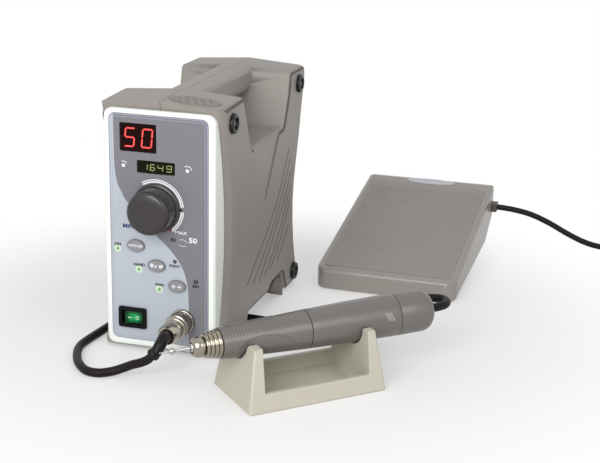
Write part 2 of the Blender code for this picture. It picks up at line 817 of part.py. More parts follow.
def bow(depth_end, depth_mid, low_z, high_z):
    """The bowed line in side view where bezel and shell meet, from top to bottom."""
    half = (high_z - low_z) / 2
    rise = depth_mid - depth_end
    radius = (half * half + rise * rise) / (2 * rise)
    middle = (high_z + low_z) / 2
    sweep = math.asin(half / radius)
    points = []
    for step in range(BOW_STEPS + 1):
        angle = sweep - 2 * sweep * step / BOW_STEPS
        points.append((depth_mid - radius + radius * math.cos(angle), middle + radius * math.sin(angle)))
    return points


def inset_corners(corners, inset):
    """Move a closed outline's corners (x, y, radius) inwards and fit their radii."""
    result = []
    count = len(corners)
    for index in range(count):
        here = Vector(corners[index][:2])
        radius = corners[index][2]
        before = (here - Vector(corners[index - 1][:2])).normalized()
        after = (Vector(corners[(index + 1) % count][:2]) - here).normalized()
        left_before = Vector((-before.y, before.x))
        left_after = Vector((-after.y, after.x))
        mitre = (left_before + left_after).normalized()
        moved = here + mitre * inset / max(mitre.dot(left_after), LEAST_MITRE_SHARE)
        if radius > 0:
            bend = before.cross(after)
            radius = max(radius - inset, GAP) if bend > 0 else radius + inset
        result.append((moved.x, moved.y, radius))
    return result


def side_corners(with_heel=True):
    """The shell's outline in side view, as corners (y, z, radius); the heel is solid inside."""
    front = bow(BEZEL_END_DEPTH + GAP, BEZEL_MID_DEPTH + GAP, SHELL_LIFT, UNIT_HEIGHT)
    rear = [(UNIT_DEPTH * y, UNIT_HEIGHT * z, 0) for y, z in reversed(REAR_CURVE_SHARES)]
    corners = [
        (ARCH_FRONT_Y - ARCH_SLOPE, SHELL_LIFT, SMALL_ROUND),
        (ARCH_FRONT_Y + ARCH_SLOPE, ARCH_Z, SMALL_ROUND),
        (FOOT_ARCH_Y - REAR_FOOT_RADIUS - ARCH_SLOPE, ARCH_Z, SMALL_ROUND),
        (FOOT_ARCH_Y - REAR_FOOT_RADIUS * HUMP_SHARE, ARCH_HUMP_Z, HUMP_ROUND),
    ]
    if with_heel:
        corners += [
            (FOOT_ARCH_Y + REAR_FOOT_RADIUS * HUMP_SHARE, ARCH_HUMP_Z, HUMP_ROUND),
            (ARCH_REAR_Y, SHELL_LIFT, SMALL_ROUND),
            (UNIT_DEPTH * HEEL_SHARE, SHELL_LIFT, SMALL_ROUND),
        ]
    else:
        rear = [corner for corner in rear if corner[1] > ARCH_HUMP_Z * 2]
        corners.append((rear[0][0], ARCH_HUMP_Z, SMALL_ROUND))
    corners += rear
    corners += [
        (UNIT_DEPTH, UNIT_HEIGHT, BLOCK_CORNER),
        (BLOCK_FRONT_Y, UNIT_HEIGHT, SMALL_ROUND),
        (COLUMN_KNEE_Y, COLUMN_KNEE_Z, COLUMN_ROUND),
        (VALLEY_REAR_Y, VALLEY_FLOOR_Z, VALLEY_FILLET),
        (VALLEY_FRONT_Y, VALLEY_FLOOR_Z, VALLEY_FILLET),
        (DECK_REAR_Y, UNIT_HEIGHT + DECK_RISE, SMALL_ROUND),
    ]
    corners += [(y, z, 0) for y, z in front]
    return corners


def shell_solid():
    """The whole shell's outside, with its crowned top and the carry handle."""
    half = UNIT_WIDTH / 2
    body = slab("shell_body", rounded_outline(side_corners(), 3), "side", -half, half, SHELL_EDGE)
    shape = bmesh.new()
    shape.from_mesh(body.data)
    geometry = list(shape.verts) + list(shape.edges) + list(shape.faces)
    bmesh.ops.bisect_plane(shape, geom=geometry, plane_co=(0, 0, 0), plane_no=(1, 0, 0), dist=WELD)
    for vert in shape.verts:
        if abs(vert.co.x) < WELD and vert.co.z > UNIT_HEIGHT * CROWN_START_SHARE:
            vert.co.z += CROWN
        set_in = (abs(vert.co.x) - half + SHELL_EDGE) / SHELL_EDGE
        if vert.co.y < BEZEL_MID_DEPTH + SHELL_EDGE * 2 and set_in > 0:
            vert.co.y += FRONT_CHAMFER * set_in
    bmesh.ops.triangulate(shape, faces=shape.faces)
    shape.to_mesh(body.data)
    shape.free()
    top = UNIT_HEIGHT + CROWN
    handle_outline = rounded_outline((
        (-HANDLE_WIDTH / 2, top - HANDLE_HEIGHT, HANDLE_ROUND),
        (HANDLE_WIDTH / 2, top - HANDLE_HEIGHT, HANDLE_ROUND),
        (HANDLE_WIDTH / 2, top - CROWN * HANDLE_WIDTH / UNIT_WIDTH, SMALL_ROUND),
        (0, top, 0),
        (-HANDLE_WIDTH / 2, top - CROWN * HANDLE_WIDTH / UNIT_WIDTH, SMALL_ROUND),
    ), 4)
    handle = slab(
        "handle_bar", handle_outline, "front", DECK_REAR_Y - HANDLE_REACH, BLOCK_FRONT_Y + HANDLE_REACH)
    return joined("shell_body", [body, handle])


def wall_grooves(side):
    """Cutters for the triangular facet and the slanted grooves of one side wall."""
    half = UNIT_WIDTH / 2
    facet = slab("facet", (
        (VALLEY_FRONT_Y, VALLEY_FLOOR_Z + OVERRUN),
        (UNIT_DEPTH * FACET_TIP_DEPTH_SHARE, UNIT_HEIGHT * FACET_TIP_HEIGHT_SHARE),
        (VALLEY_REAR_Y - FACET_INSET, VALLEY_FLOOR_Z + OVERRUN),
    ), "side", half - FACET_DEPTH, half + OVERRUN)
    tools = [facet]
    for index, shares in enumerate(GROOVE_SHARES):
        route = [(half + GROOVE_RADIUS / 4, UNIT_DEPTH * y, UNIT_HEIGHT * z) for y, z in shares]
        points, _ = smooth_route(route, GROOVE_STEP)
        tools.append(tube("groove_%d" % index, points, GROOVE_RADIUS, 0))
    for tool in tools:
        tool.data.transform(Matrix.Scale(side, 4, (1, 0, 0)))
        if side < 0:
            tool.data.flip_normals()
    return tools


def panel_y():
    """Front face of the rear panel, just inside the rear wall's hollow."""
    hollow = min(share for share, _ in REAR_CURVE_SHARES)
    return UNIT_DEPTH * hollow - SHELL_WALL - GAP - PANEL_THICK


BUMPER_PLACES = (
    ("front", BUMPER_FRONT_Y, BUMPER_TOP_Z),
    ("rear_top", BUMPER_REAR_TOP_Y, BUMPER_TOP_Z),
    ("rear_low", BUMPER_REAR_LOW_Y, BUMPER_LOW_Z),
)


def bumper_seats(side):
    """Cutters for the bumpers' seats, each with the hole for its stem."""
    stem = BUMPER_STEM_RADIUS + GAP
    profile = [
        (0, OVERRUN), (BUMPER_RADIUS + GAP, OVERRUN), (BUMPER_RADIUS + GAP, -BUMPER_SEAT_DEPTH),
        (stem, -BUMPER_SEAT_DEPTH), (stem, -BUMPER_STEM_LENGTH - OVERRUN),
        (0, -BUMPER_STEM_LENGTH - OVERRUN),
    ]
    return [
        aimed(turned("seat_" + place, profile, BUMPER_STEPS), (side * UNIT_WIDTH / 2, y, z), (side, 0, 0))
        for place, y, z in BUMPER_PLACES
    ]


def build_shell():
    half = UNIT_WIDTH / 2
    body = shell_solid()
    cavity = slab(
        "cavity", rounded_outline(inset_corners(side_corners(False), SHELL_WALL), 2), "side",
        SHELL_WALL - half, half - SHELL_WALL)
    front_opening = box(
        "front_opening",
        (OPENING_MARGIN - BEZEL_WIDTH / 2, -OVERRUN, BEZEL_LOW_Z + OPENING_MARGIN),
        (BEZEL_WIDTH / 2 - OPENING_MARGIN, BEZEL_MID_DEPTH + OVERRUN, BEZEL_TOP_Z - OPENING_MARGIN))
    panel_opening = box(
        "panel_opening",
        (-PANEL_OPENING_WIDTH / 2, panel_y() + PANEL_THICK, PANEL_OPENING_LOW_Z),
        (PANEL_OPENING_WIDTH / 2, UNIT_DEPTH + OVERRUN, PANEL_OPENING_TOP_Z))
    rest_seat = on_deck(slab(
        "rest_seat", ellipse(0, 0, REST_LONG / 2 + GAP, REST_SHORT / 2 + GAP), "top",
        REST_PROUD - REST_THICK - GAP, OVERRUN))
    rest_shelf = on_deck(slab(
        "rest_shelf", ellipse(0, 0, REST_LONG / 2 + SHELL_WALL, REST_SHORT / 2 + SHELL_WALL),
        "top", REST_PROUD - REST_THICK - SHELL_WALL, -SHELL_WALL / 2))
    hollow = cut("cavity", cavity, [rest_shelf])
    body = cut("shell_body", body, [hollow, front_opening, panel_opening, rest_seat])
    for name, side in (("shell_left", -1), ("shell_right", 1)):
        wide = half + OVERRUN
        low_x = GAP / 2 if side > 0 else -wide
        high_x = wide if side > 0 else -GAP / 2
        keep = box(
            name + "_side", (low_x, -OVERRUN, -OVERRUN), (high_x, UNIT_DEPTH + OVERRUN, UNIT_HEIGHT * 2))
        shell = copy_of(body, name)
        combine(shell, keep, "INTERSECT")
        shell = frozen(shell, name)
        bpy.data.objects.remove(keep, do_unlink=True)
        tools = wall_grooves(side) + bumper_seats(side)
        shell = cut(name, shell, tools)
        adopt(shell, name, "shell_grey")
    bpy.data.objects.remove(body, do_unlink=True)


def on_deck(item):
    """Lay a solid made flat at the origin on the crowned deck, at the bur rest's place."""
    height = UNIT_HEIGHT + CROWN * (1 - REST_X / (UNIT_WIDTH / 2))
    tilt = Matrix.Rotation(math.atan(CROWN / (UNIT_WIDTH / 2)), 4, "Y")
    item.data.transform(Matrix.Translation((REST_X, REST_Y, height)) @ tilt)
    return item


# Rubber bumpers, each a round head with a stem through the side wall

def build_bumpers():
    seat = GAP - BUMPER_SEAT_DEPTH
    head = arc_points(
        (BUMPER_RADIUS - BUMPER_ROUND, BUMPER_PROUD - BUMPER_ROUND), BUMPER_ROUND, math.pi / 2, 0, 2)
    profile = [(0, BUMPER_PROUD), *head]
    profile += [(BUMPER_RADIUS, seat), (BUMPER_STEM_RADIUS, seat)]
    profile += [(BUMPER_STEM_RADIUS, -BUMPER_STEM_LENGTH), (0, -BUMPER_STEM_LENGTH)]
    for side_name, side in (("left", -1), ("right", 1)):
        for place, y, z in BUMPER_PLACES:
            bumper = turned("bumper", profile, BUMPER_STEPS)
            aimed(bumper, (side * UNIT_WIDTH / 2, y, z), (side, 0, 0))
            adopt(bumper, "bumper_%s_%s" % (place, side_name), "rubber_black")


# Rubber feet: a bar under the front, and a half round in each side of the rear arch

def build_feet():
    bar = slab("front_foot", rectangle(
        -FRONT_FOOT_WIDTH / 2, FRONT_FOOT_Y - FRONT_FOOT_DEPTH / 2,
        FRONT_FOOT_WIDTH / 2, FRONT_FOOT_Y + FRONT_FOOT_DEPTH / 2, FRONT_FOOT_DEPTH / 3, 3),
        "top", 0, SHELL_LIFT - GAP)
    adopt(bar, "front_foot", "rubber_black")
    centre = (FOOT_ARCH_Y, ARCH_HUMP_Z - GAP - REAR_FOOT_RADIUS)
    outline = [(FOOT_ARCH_Y - REAR_FOOT_RADIUS, 0), (FOOT_ARCH_Y + REAR_FOOT_RADIUS, 0)]
    outline += arc_points(centre, REAR_FOOT_RADIUS, 0, math.pi, 14)
    outer = UNIT_WIDTH / 2 - REAR_FOOT_SET_IN
    for name, low in (("rear_foot_left", -outer), ("rear_foot_right", outer - REAR_FOOT_THICK)):
        adopt(slab(name, outline, "side", low, low + REAR_FOOT_THICK), name, "rubber_black")


# Bezel and label plate, with the openings that they share

def switch_body_outline(slack=0.0):
    """The mains switch's body, inside its flange."""
    half_x = SWITCH_WIDTH / 2 - SWITCH_BORDER / 2 + slack
    half_z = SWITCH_TALL / 2 - SWITCH_BORDER / 2 + slack
    return rectangle(
        SWITCH_X - half_x, SWITCH_Z - half_z, SWITCH_X + half_x, SWITCH_Z + half_z, SWITCH_CORNER, 2)


def window_outline(window, slack):
    x, z, wide, tall = window
    half_x = wide / 2 + slack
    half_z = tall / 2 + slack
    return rectangle(x - half_x, z - half_z, x + half_x, z + half_z, WINDOW_CORNER, 2)


def front_openings(front_y, back_y):
    """Cutters for every opening that goes through the front, between two depths."""
    tools = [
        slab("main_hole", window_outline(MAIN_WINDOW, 0), "front", front_y, back_y),
        slab("small_hole", window_outline(SMALL_WINDOW, 0), "front", front_y, back_y),
        slab("switch_hole", switch_body_outline(GAP), "front", front_y, back_y),
        rod("knob_hole", BUSH_RADIUS + GAP, (KNOB_X, front_y, KNOB_Z), (KNOB_X, back_y, KNOB_Z)),
        rod("socket_hole", SOCKET_BARREL_RADIUS + GAP,
            (SOCKET_X, front_y, SOCKET_Z), (SOCKET_X, back_y, SOCKET_Z), SOCKET_STEPS),
    ]
    for name, x, z in BUTTON_PLACES:
        outline = ellipse(x, z, BUTTON_WIDTH / 2 + GAP, BUTTON_TALL / 2 + GAP)
        tools.append(slab(name + "_hole", outline, "front", front_y, back_y))
    for name, x, z in LED_PLACES:
        tools.append(rod(name + "_hole", LED_RADIUS + GAP, (x, front_y, z), (x, back_y, z), LAMP_STEPS))
    return tools


def boss_places():
    half = BOARD_WIDTH / 2 - BOSS_INSET
    for x in (-half, half):
        for z in (BOARD_LOW_Z + BOSS_INSET, BOARD_TOP_Z - BOSS_INSET * 2):
            yield x, z


def build_bezel():
    outline = rectangle(
        -BEZEL_WIDTH / 2, BEZEL_LOW_Z, BEZEL_WIDTH / 2, BEZEL_TOP_Z, BEZEL_CORNER, 6)
    bezel = slab("bezel", outline, "front", 0, BEZEL_MID_DEPTH + BEZEL_EDGE * 2, BEZEL_EDGE)
    side = bow(BEZEL_END_DEPTH, BEZEL_MID_DEPTH, SHELL_LIFT, UNIT_HEIGHT)
    side = [(-OVERRUN, SHELL_LIFT), *reversed(side), (-OVERRUN, UNIT_HEIGHT)]
    keep = slab("bezel_side", side, "side", -UNIT_WIDTH / 2, UNIT_WIDTH / 2)
    combine(bezel, keep, "INTERSECT")
    bezel = frozen(bezel, "bezel")
    bpy.data.objects.remove(keep, do_unlink=True)
    half = BEZEL_WIDTH / 2 - BEZEL_WALL
    hollow = slab("bezel_hollow", rectangle(
        -half, BEZEL_LOW_Z + BEZEL_WALL, half, BEZEL_TOP_Z - BEZEL_WALL, BEZEL_CORNER - BEZEL_WALL, 2),
        "front", BEZEL_WALL, BEZEL_MID_DEPTH + OVERRUN)
    for index, (x, z) in enumerate(boss_places()):
        boss = rod("boss_%d" % index, BOSS_RADIUS, (x, 0, z), (x, BOARD_Y - GAP, z), LAMP_STEPS)
        hollow = cut("bezel_hollow", hollow, [boss])
    recess = slab("label_recess", rectangle(
        -LABEL_WIDTH / 2 - GAP, LABEL_LOW_Z - GAP, LABEL_WIDTH / 2 + GAP, LABEL_TOP_Z + GAP,
        LABEL_CORNER, 4), "front", -OVERRUN, LABEL_THICK - LABEL_PROUD + GAP)
    bezel = cut("bezel", bezel, [hollow, recess, *front_openings(-OVERRUN, BEZEL_WALL + OVERRUN)])
    adopt(bezel, "bezel", "bezel_white")


def build_label():
    label = slab("label_plate", rectangle(
        -LABEL_WIDTH / 2, LABEL_LOW_Z, LABEL_WIDTH / 2, LABEL_TOP_Z, LABEL_CORNER, 4),
        "front", -LABEL_PROUD, LABEL_THICK - LABEL_PROUD)
    label = cut("label_plate", label, front_openings(-OVERRUN, OVERRUN))
    adopt(label, "label_plate", "label_grey")


# Displays, board and lamps behind the label

def build_displays():
    for name, window in (("main_display", MAIN_WINDOW), ("small_display", SMALL_WINDOW)):
        glass = slab("glass", window_outline(window, -GAP), "front", 0, BEZEL_WALL + GAP * 2)
        block = slab(
            "block", window_outline(window, WINDOW_BORDER), "front", BEZEL_WALL + GAP, BOARD_Y - GAP)
        adopt(joined(name, [glass, block]), name, "window_dark")


def build_front_board():
    rear = BOARD_Y + BOARD_THICK
    board = slab("front_board", rectangle(
        -BOARD_WIDTH / 2, BOARD_LOW_Z, BOARD_WIDTH / 2, BOARD_TOP_Z, BOSS_INSET, 2),
        "front", BOARD_Y, rear)
    pieces = [board]
    for name, x, z in BUTTON_PLACES:
        pieces.append(box(
            name + "_contact", (x - SWITCH_BODY / 2, BOARD_Y - SWITCH_DEPTH, z - SWITCH_BODY / 2),
            (x + SWITCH_BODY / 2, rear - BOARD_THICK / 2, z + SWITCH_BODY / 2)))
    for name, x in (("driver_chip", KNOB_X - CHIP_WIDTH), ("logic_chip", KNOB_X + CHIP_WIDTH / 2)):
        pieces.append(box(
            name, (x, rear - BOARD_THICK / 2, KNOB_Z - CHIP_DROP),
            (x + CHIP_WIDTH, rear + CHIP_THICK, KNOB_Z - CHIP_DROP + CHIP_TALL)))
    board = joined("front_board", pieces)
    bush_hole = rod(
        "bush_hole", BUSH_RADIUS + GAP, (KNOB_X, BOARD_Y - OVERRUN, KNOB_Z),
        (KNOB_X, rear + OVERRUN, KNOB_Z))
    adopt(cut("front_board", board, [bush_hole]), "front_board", "board_green")


def build_lamps():
    base_y = BOARD_Y - GAP
    collar_y = BEZEL_WALL + GAP
    tip = base_y + LABEL_PROUD + LED_PROUD
    dome = arc_points((0, tip - LED_RADIUS), LED_RADIUS, math.pi / 2, 0, 2)
    profile = [
        *dome, (LED_RADIUS, base_y - collar_y), (LED_COLLAR_RADIUS, base_y - collar_y),
        (LED_COLLAR_RADIUS, 0), (0, 0),
    ]
    for name, x, z in LED_PLACES:
        lamp = aimed(turned("lamp", profile, LAMP_STEPS), (x, base_y, z), (0, -1, 0))
        adopt(lamp, "lamp_" + name, "lamp_green")


# Speed knob on its shaft, and the potentiometer that it turns

def build_knob():
    seat_y = -LABEL_PROUD - GAP
    crown_z = KNOB_HEIGHT - KNOB_DOME
    edge = arc_points(
        (KNOB_CAP_RADIUS - KNOB_ROUND, crown_z - KNOB_ROUND), KNOB_ROUND, math.pi / 2, 0, 4)
    flange = arc_points(
        (KNOB_BASE_RADIUS - KNOB_FLANGE / 2, KNOB_FLANGE / 2), KNOB_FLANGE / 2, math.pi / 2, 0, 2)
    profile = [
        (0, KNOB_HEIGHT), (KNOB_CAP_RADIUS / 3, KNOB_HEIGHT - KNOB_DOME / 8),
        (KNOB_CAP_RADIUS * 2 / 3 - KNOB_ROUND / 3, KNOB_HEIGHT - KNOB_DOME / 2), *edge,
        (KNOB_CAP_RADIUS, KNOB_FLANGE), *flange, (KNOB_BASE_RADIUS, 0),
        (SHAFT_RADIUS + GAP, 0), (SHAFT_RADIUS + GAP, KNOB_BORE_DEPTH), (0, KNOB_BORE_DEPTH),
    ]
    knob = aimed(turned("knob", profile, ROUND_STEPS), (KNOB_X, seat_y, KNOB_Z), (0, -1, 0))
    reach = KNOB_BASE_RADIUS - KNOB_NUB_RADIUS * 2 / 3
    nub_x = KNOB_X + reach * math.cos(KNOB_NUB_ANGLE)
    nub_z = KNOB_Z + reach * math.sin(KNOB_NUB_ANGLE)
    nub = rod(
        "nub", KNOB_NUB_RADIUS, (nub_x, seat_y - KNOB_FLANGE / 4, nub_z),
        (nub_x, seat_y - KNOB_FLANGE * 2, nub_z), STEM_STEPS, KNOB_NUB_RADIUS * 2 / 3)
    knob = set_pivot(joined("knob", [knob, nub]), (KNOB_X, 0, KNOB_Z))
    adopt(knob, "knob", "knob_brown")
    bush_bore = SHAFT_RADIUS + GAP
    board_rear = BOARD_Y + BOARD_THICK + GAP
    shaft = rod(
        "knob_shaft", SHAFT_RADIUS, (KNOB_X, seat_y - KNOB_BORE_DEPTH + GAP, KNOB_Z),
        (KNOB_X, board_rear + POT_DEPTH / 2 - GAP, KNOB_Z))
    adopt(set_pivot(shaft, (KNOB_X, 0, KNOB_Z)), "knob_shaft", "aluminium")
    profile = [
        (0, -POT_DEPTH / 2), (bush_bore, -POT_DEPTH / 2), (bush_bore, board_rear - BUSH_FRONT_Y),
        (BUSH_RADIUS, board_rear - BUSH_FRONT_Y), (BUSH_RADIUS, 0), (POT_RADIUS, 0),
        (POT_RADIUS, -POT_DEPTH), (0, -POT_DEPTH),
    ]
    pot = aimed(turned("potentiometer", profile, SMALL_STEPS), (KNOB_X, board_rear, KNOB_Z), (0, -1, 0))
    adopt(pot, "potentiometer", "steel")


# Oval push buttons, each with a flange behind the bezel and a stem to its contact

def build_buttons():
    front = -LABEL_PROUD - BUTTON_PROUD
    flange_y = BEZEL_WALL + GAP
    stem_end = BOARD_Y - SWITCH_DEPTH - BUTTON_TRAVEL - GAP
    for name, x, z in BUTTON_PLACES:
        cap = slab(
            "cap", ellipse(x, z, BUTTON_WIDTH / 2, BUTTON_TALL / 2), "front", front,
            flange_y + BUTTON_FLANGE / 2, BUTTON_ROUND)
        flange = slab(
            "flange", ellipse(x, z, BUTTON_WIDTH / 2 + BUTTON_FLANGE, BUTTON_TALL / 2 + BUTTON_FLANGE),
            "front", flange_y, flange_y + BUTTON_FLANGE)
        stem = rod("stem", BUTTON_STEM_RADIUS, (x, flange_y, z), (x, stem_end, z), STEM_STEPS)
        button = set_pivot(joined("button", [cap, flange, stem]), (x, 0, z))
        adopt(button, "button_" + name, "bezel_white")


# Mains switch: a framed rocker that tips about an upright axis

def build_switch():
    front = -LABEL_PROUD - GAP - SWITCH_FLANGE
    half_x = SWITCH_WIDTH / 2
    half_z = SWITCH_TALL / 2
    flange = slab("flange", rectangle(
        SWITCH_X - half_x, SWITCH_Z - half_z, SWITCH_X + half_x, SWITCH_Z + half_z, SWITCH_CORNER, 2),
        "front", front, -LABEL_PROUD - GAP)
    body = slab("body", switch_body_outline(), "front", front + SWITCH_FLANGE / 2, SWITCH_BACK_Y)
    frame = joined("switch_frame", [flange, body])
    opening_x = half_x - SWITCH_BORDER
    opening_z = half_z - SWITCH_BORDER
    well = box(
        "well", (SWITCH_X - opening_x, front - OVERRUN, SWITCH_Z - opening_z),
        (SWITCH_X + opening_x, ROCKER_PIVOT_Y + ROCKER_HUB + GAP, SWITCH_Z + opening_z))
    adopt(cut("switch_frame", frame, [well]), "switch_frame", "plastic_black")
    sway = ROCKER_REACH * math.sin(ROCKER_TILT)
    half_rocker = (opening_x - GAP - sway) / math.cos(ROCKER_TILT)
    outline = [
        (-half_rocker, -ROCKER_REACH), (0, -ROCKER_REACH + ROCKER_DIP), (half_rocker, -ROCKER_REACH),
        (half_rocker, -ROCKER_REACH / 2), *arc_points((0, 0), ROCKER_HUB, 0, math.pi, 6),
        (-half_rocker, -ROCKER_REACH / 2),
    ]
    rocker = slab("switch_rocker", outline, "top", GAP - opening_z, opening_z - GAP)
    rocker.location = (SWITCH_X, ROCKER_PIVOT_Y, SWITCH_Z)
    rocker.rotation_euler.z = ROCKER_TILT
    adopt(rocker, "switch_rocker", "rocker_green")


# Motor socket, and the plug on the motor cord with its knurled coupling ring

def build_socket_and_plug():
    ring_y = -LABEL_PROUD - GAP
    bore_z = SOCKET_RING_THICK - PLUG_NOSE_DEPTH - GAP
    profile = [
        (0, bore_z), (SOCKET_BORE_RADIUS, bore_z), (SOCKET_BORE_RADIUS, SOCKET_RING_THICK),
        (SOCKET_RING_RADIUS - SOCKET_CHAMFER, SOCKET_RING_THICK),
        (SOCKET_RING_RADIUS, SOCKET_RING_THICK - SOCKET_CHAMFER), (SOCKET_RING_RADIUS, 0),
        (SOCKET_BARREL_RADIUS, 0), (SOCKET_BARREL_RADIUS, ring_y - SOCKET_BACK_Y),
        (0, ring_y - SOCKET_BACK_Y),
    ]
    socket = turned("motor_socket", profile, SOCKET_STEPS)
    adopt(aimed(socket, (SOCKET_X, ring_y, SOCKET_Z), (0, -1, 0)), "motor_socket", "nickel")
    face_y = ring_y - SOCKET_RING_THICK
    neck = COUPLING_BORE - GAP
    tail_z = COUPLING_LENGTH + GAP * 2
    profile = [
        (0, PLUG_LENGTH), (PLUG_TAIL_END_RADIUS, PLUG_LENGTH),
        (PLUG_TAIL_RADIUS, PLUG_LENGTH - PLUG_TAIL_TAPER), (PLUG_TAIL_RADIUS, tail_z), (neck, tail_z),
        (neck, GAP), (PLUG_NOSE_RADIUS, GAP), (PLUG_NOSE_RADIUS, -PLUG_NOSE_DEPTH), (0, -PLUG_NOSE_DEPTH),
    ]
    plug = turned("plug_body", profile, SOCKET_STEPS)
    adopt(aimed(plug, (SOCKET_X, face_y, SOCKET_Z), (0, -1, 0)), "plug_body", "nickel")
    shoulder = COUPLING_RADIUS - KNURL_RADIUS
    profile = [
        (COUPLING_BORE, COUPLING_LENGTH), (shoulder - SOCKET_CHAMFER, COUPLING_LENGTH),
        (shoulder, COUPLING_LENGTH - SOCKET_CHAMFER), (shoulder, SOCKET_CHAMFER),
        (shoulder - SOCKET_CHAMFER, 0), (COUPLING_BORE, 0),
    ]
    ring = turned("plug_coupling", profile, KNURL_COUNT * 2, True)
    for vert in ring.data.vertices:
        radius = math.hypot(vert.co.x, vert.co.y)
        step = round(math.atan2(vert.co.y, vert.co.x) / math.tau * KNURL_COUNT * 2)
        if radius > shoulder - WELD and step % 2:
            vert.co.x *= COUPLING_RADIUS / radius
            vert.co.y *= COUPLING_RADIUS / radius
    ring = aimed(ring, (SOCKET_X, face_y - GAP, SOCKET_Z), (0, -1, 0))
    adopt(set_pivot(ring, (SOCKET_X, face_y - GAP, SOCKET_Z)), "plug_coupling", "nickel")


# Rear panel with the mains inlet, fuse holder and pedal socket

def inlet_outline(slack=0.0):
    half_x = INLET_WIDTH / 2 + slack
    half_z = INLET_TALL / 2 + slack
    return rectangle(
        INLET_X - half_x, INLET_Z - half_z, INLET_X + half_x, INLET_Z + half_z, INLET_LIP / 2, 2)


def build_rear_panel():
    front = panel_y()
    rear = front + PANEL_THICK
    half = PANEL_OPENING_WIDTH / 2 + PANEL_MARGIN
    panel = slab("rear_panel", rectangle(
        -half, PANEL_OPENING_LOW_Z - PANEL_MARGIN, half, PANEL_OPENING_TOP_Z + PANEL_MARGIN,
        PANEL_MARGIN / 2, 2), "front", front, rear)
    holes = [
        slab("inlet_hole", inlet_outline(GAP), "front", front - OVERRUN, rear + OVERRUN),
        rod("fuse_hole", FUSE_RADIUS + GAP,
            (FUSE_X, front - OVERRUN, FUSE_Z), (FUSE_X, rear + OVERRUN, FUSE_Z)),
        rod("pedal_hole", PEDAL_SOCKET_RADIUS + GAP, (PEDAL_SOCKET_X, front - OVERRUN, PEDAL_SOCKET_Z),
            (PEDAL_SOCKET_X, rear + OVERRUN, PEDAL_SOCKET_Z)),
    ]
    adopt(cut("rear_panel", panel, holes), "rear_panel", "aluminium")
    seat = rear + GAP
    body = slab("body", inlet_outline(), "front", seat - INLET_DEPTH, seat + INLET_FLANGE)
    flange = slab("flange", inlet_outline(INLET_LIP), "front", seat, seat + INLET_FLANGE)
    inlet = joined("mains_inlet", [body, flange])
    well = slab(
        "well", inlet_outline(-INLET_LIP), "front", seat + INLET_FLANGE - INLET_WELL,
        seat + INLET_FLANGE + OVERRUN)
    for share in (-1, 0, 1):
        x = INLET_X + share * INLET_PIN_PITCH
        z = INLET_Z + abs(share) * INLET_LIP
        pin = box(
            "pin", (x - INLET_PIN / 2, seat - INLET_WELL, z - INLET_PIN),
            (x + INLET_PIN / 2, seat - INLET_FLANGE, z + INLET_PIN))
        well = cut("well", well, [pin])
    adopt(cut("mains_inlet", inlet, [well]), "mains_inlet", "plastic_black")
    profile = [
        (0, FUSE_CAP_PROUD), (FUSE_RADIUS, FUSE_CAP_PROUD), (FUSE_RADIUS + FUSE_LIP, FUSE_CAP_PROUD / 2),
        (FUSE_RADIUS + FUSE_LIP, 0), (FUSE_RADIUS, 0), (FUSE_RADIUS, -FUSE_DEPTH), (0, -FUSE_DEPTH),
    ]
    fuse = aimed(turned("fuse_holder", profile, SMALL_STEPS), (FUSE_X, seat, FUSE_Z), (0, 1, 0))
    slot = box(
        "slot", (FUSE_X - FUSE_RADIUS / 2, seat + FUSE_CAP_PROUD - FUSE_SLOT, FUSE_Z - FUSE_SLOT / 2),
        (FUSE_X + FUSE_RADIUS / 2, seat + FUSE_CAP_PROUD + OVERRUN, FUSE_Z + FUSE_SLOT / 2))
    adopt(cut("fuse_holder", fuse, [slot]), "fuse_holder", "plastic_black")
    flange = PEDAL_SOCKET_RADIUS + FUSE_LIP
    profile = [
        (0, -PEDAL_SOCKET_DEPTH / 2), (PEDAL_SOCKET_BORE, -PEDAL_SOCKET_DEPTH / 2),
        (PEDAL_SOCKET_BORE, INLET_FLANGE), (flange, INLET_FLANGE), (flange, 0),
        (PEDAL_SOCKET_RADIUS, 0), (PEDAL_SOCKET_RADIUS, -PEDAL_SOCKET_DEPTH), (0, -PEDAL_SOCKET_DEPTH),
    ]
    socket = turned("pedal_socket", profile, SMALL_STEPS)
    adopt(aimed(socket, (PEDAL_SOCKET_X, seat, PEDAL_SOCKET_Z), (0, 1, 0)), "pedal_socket", "nickel")


# Chassis plate over the rear arch, with the transformer and the power board

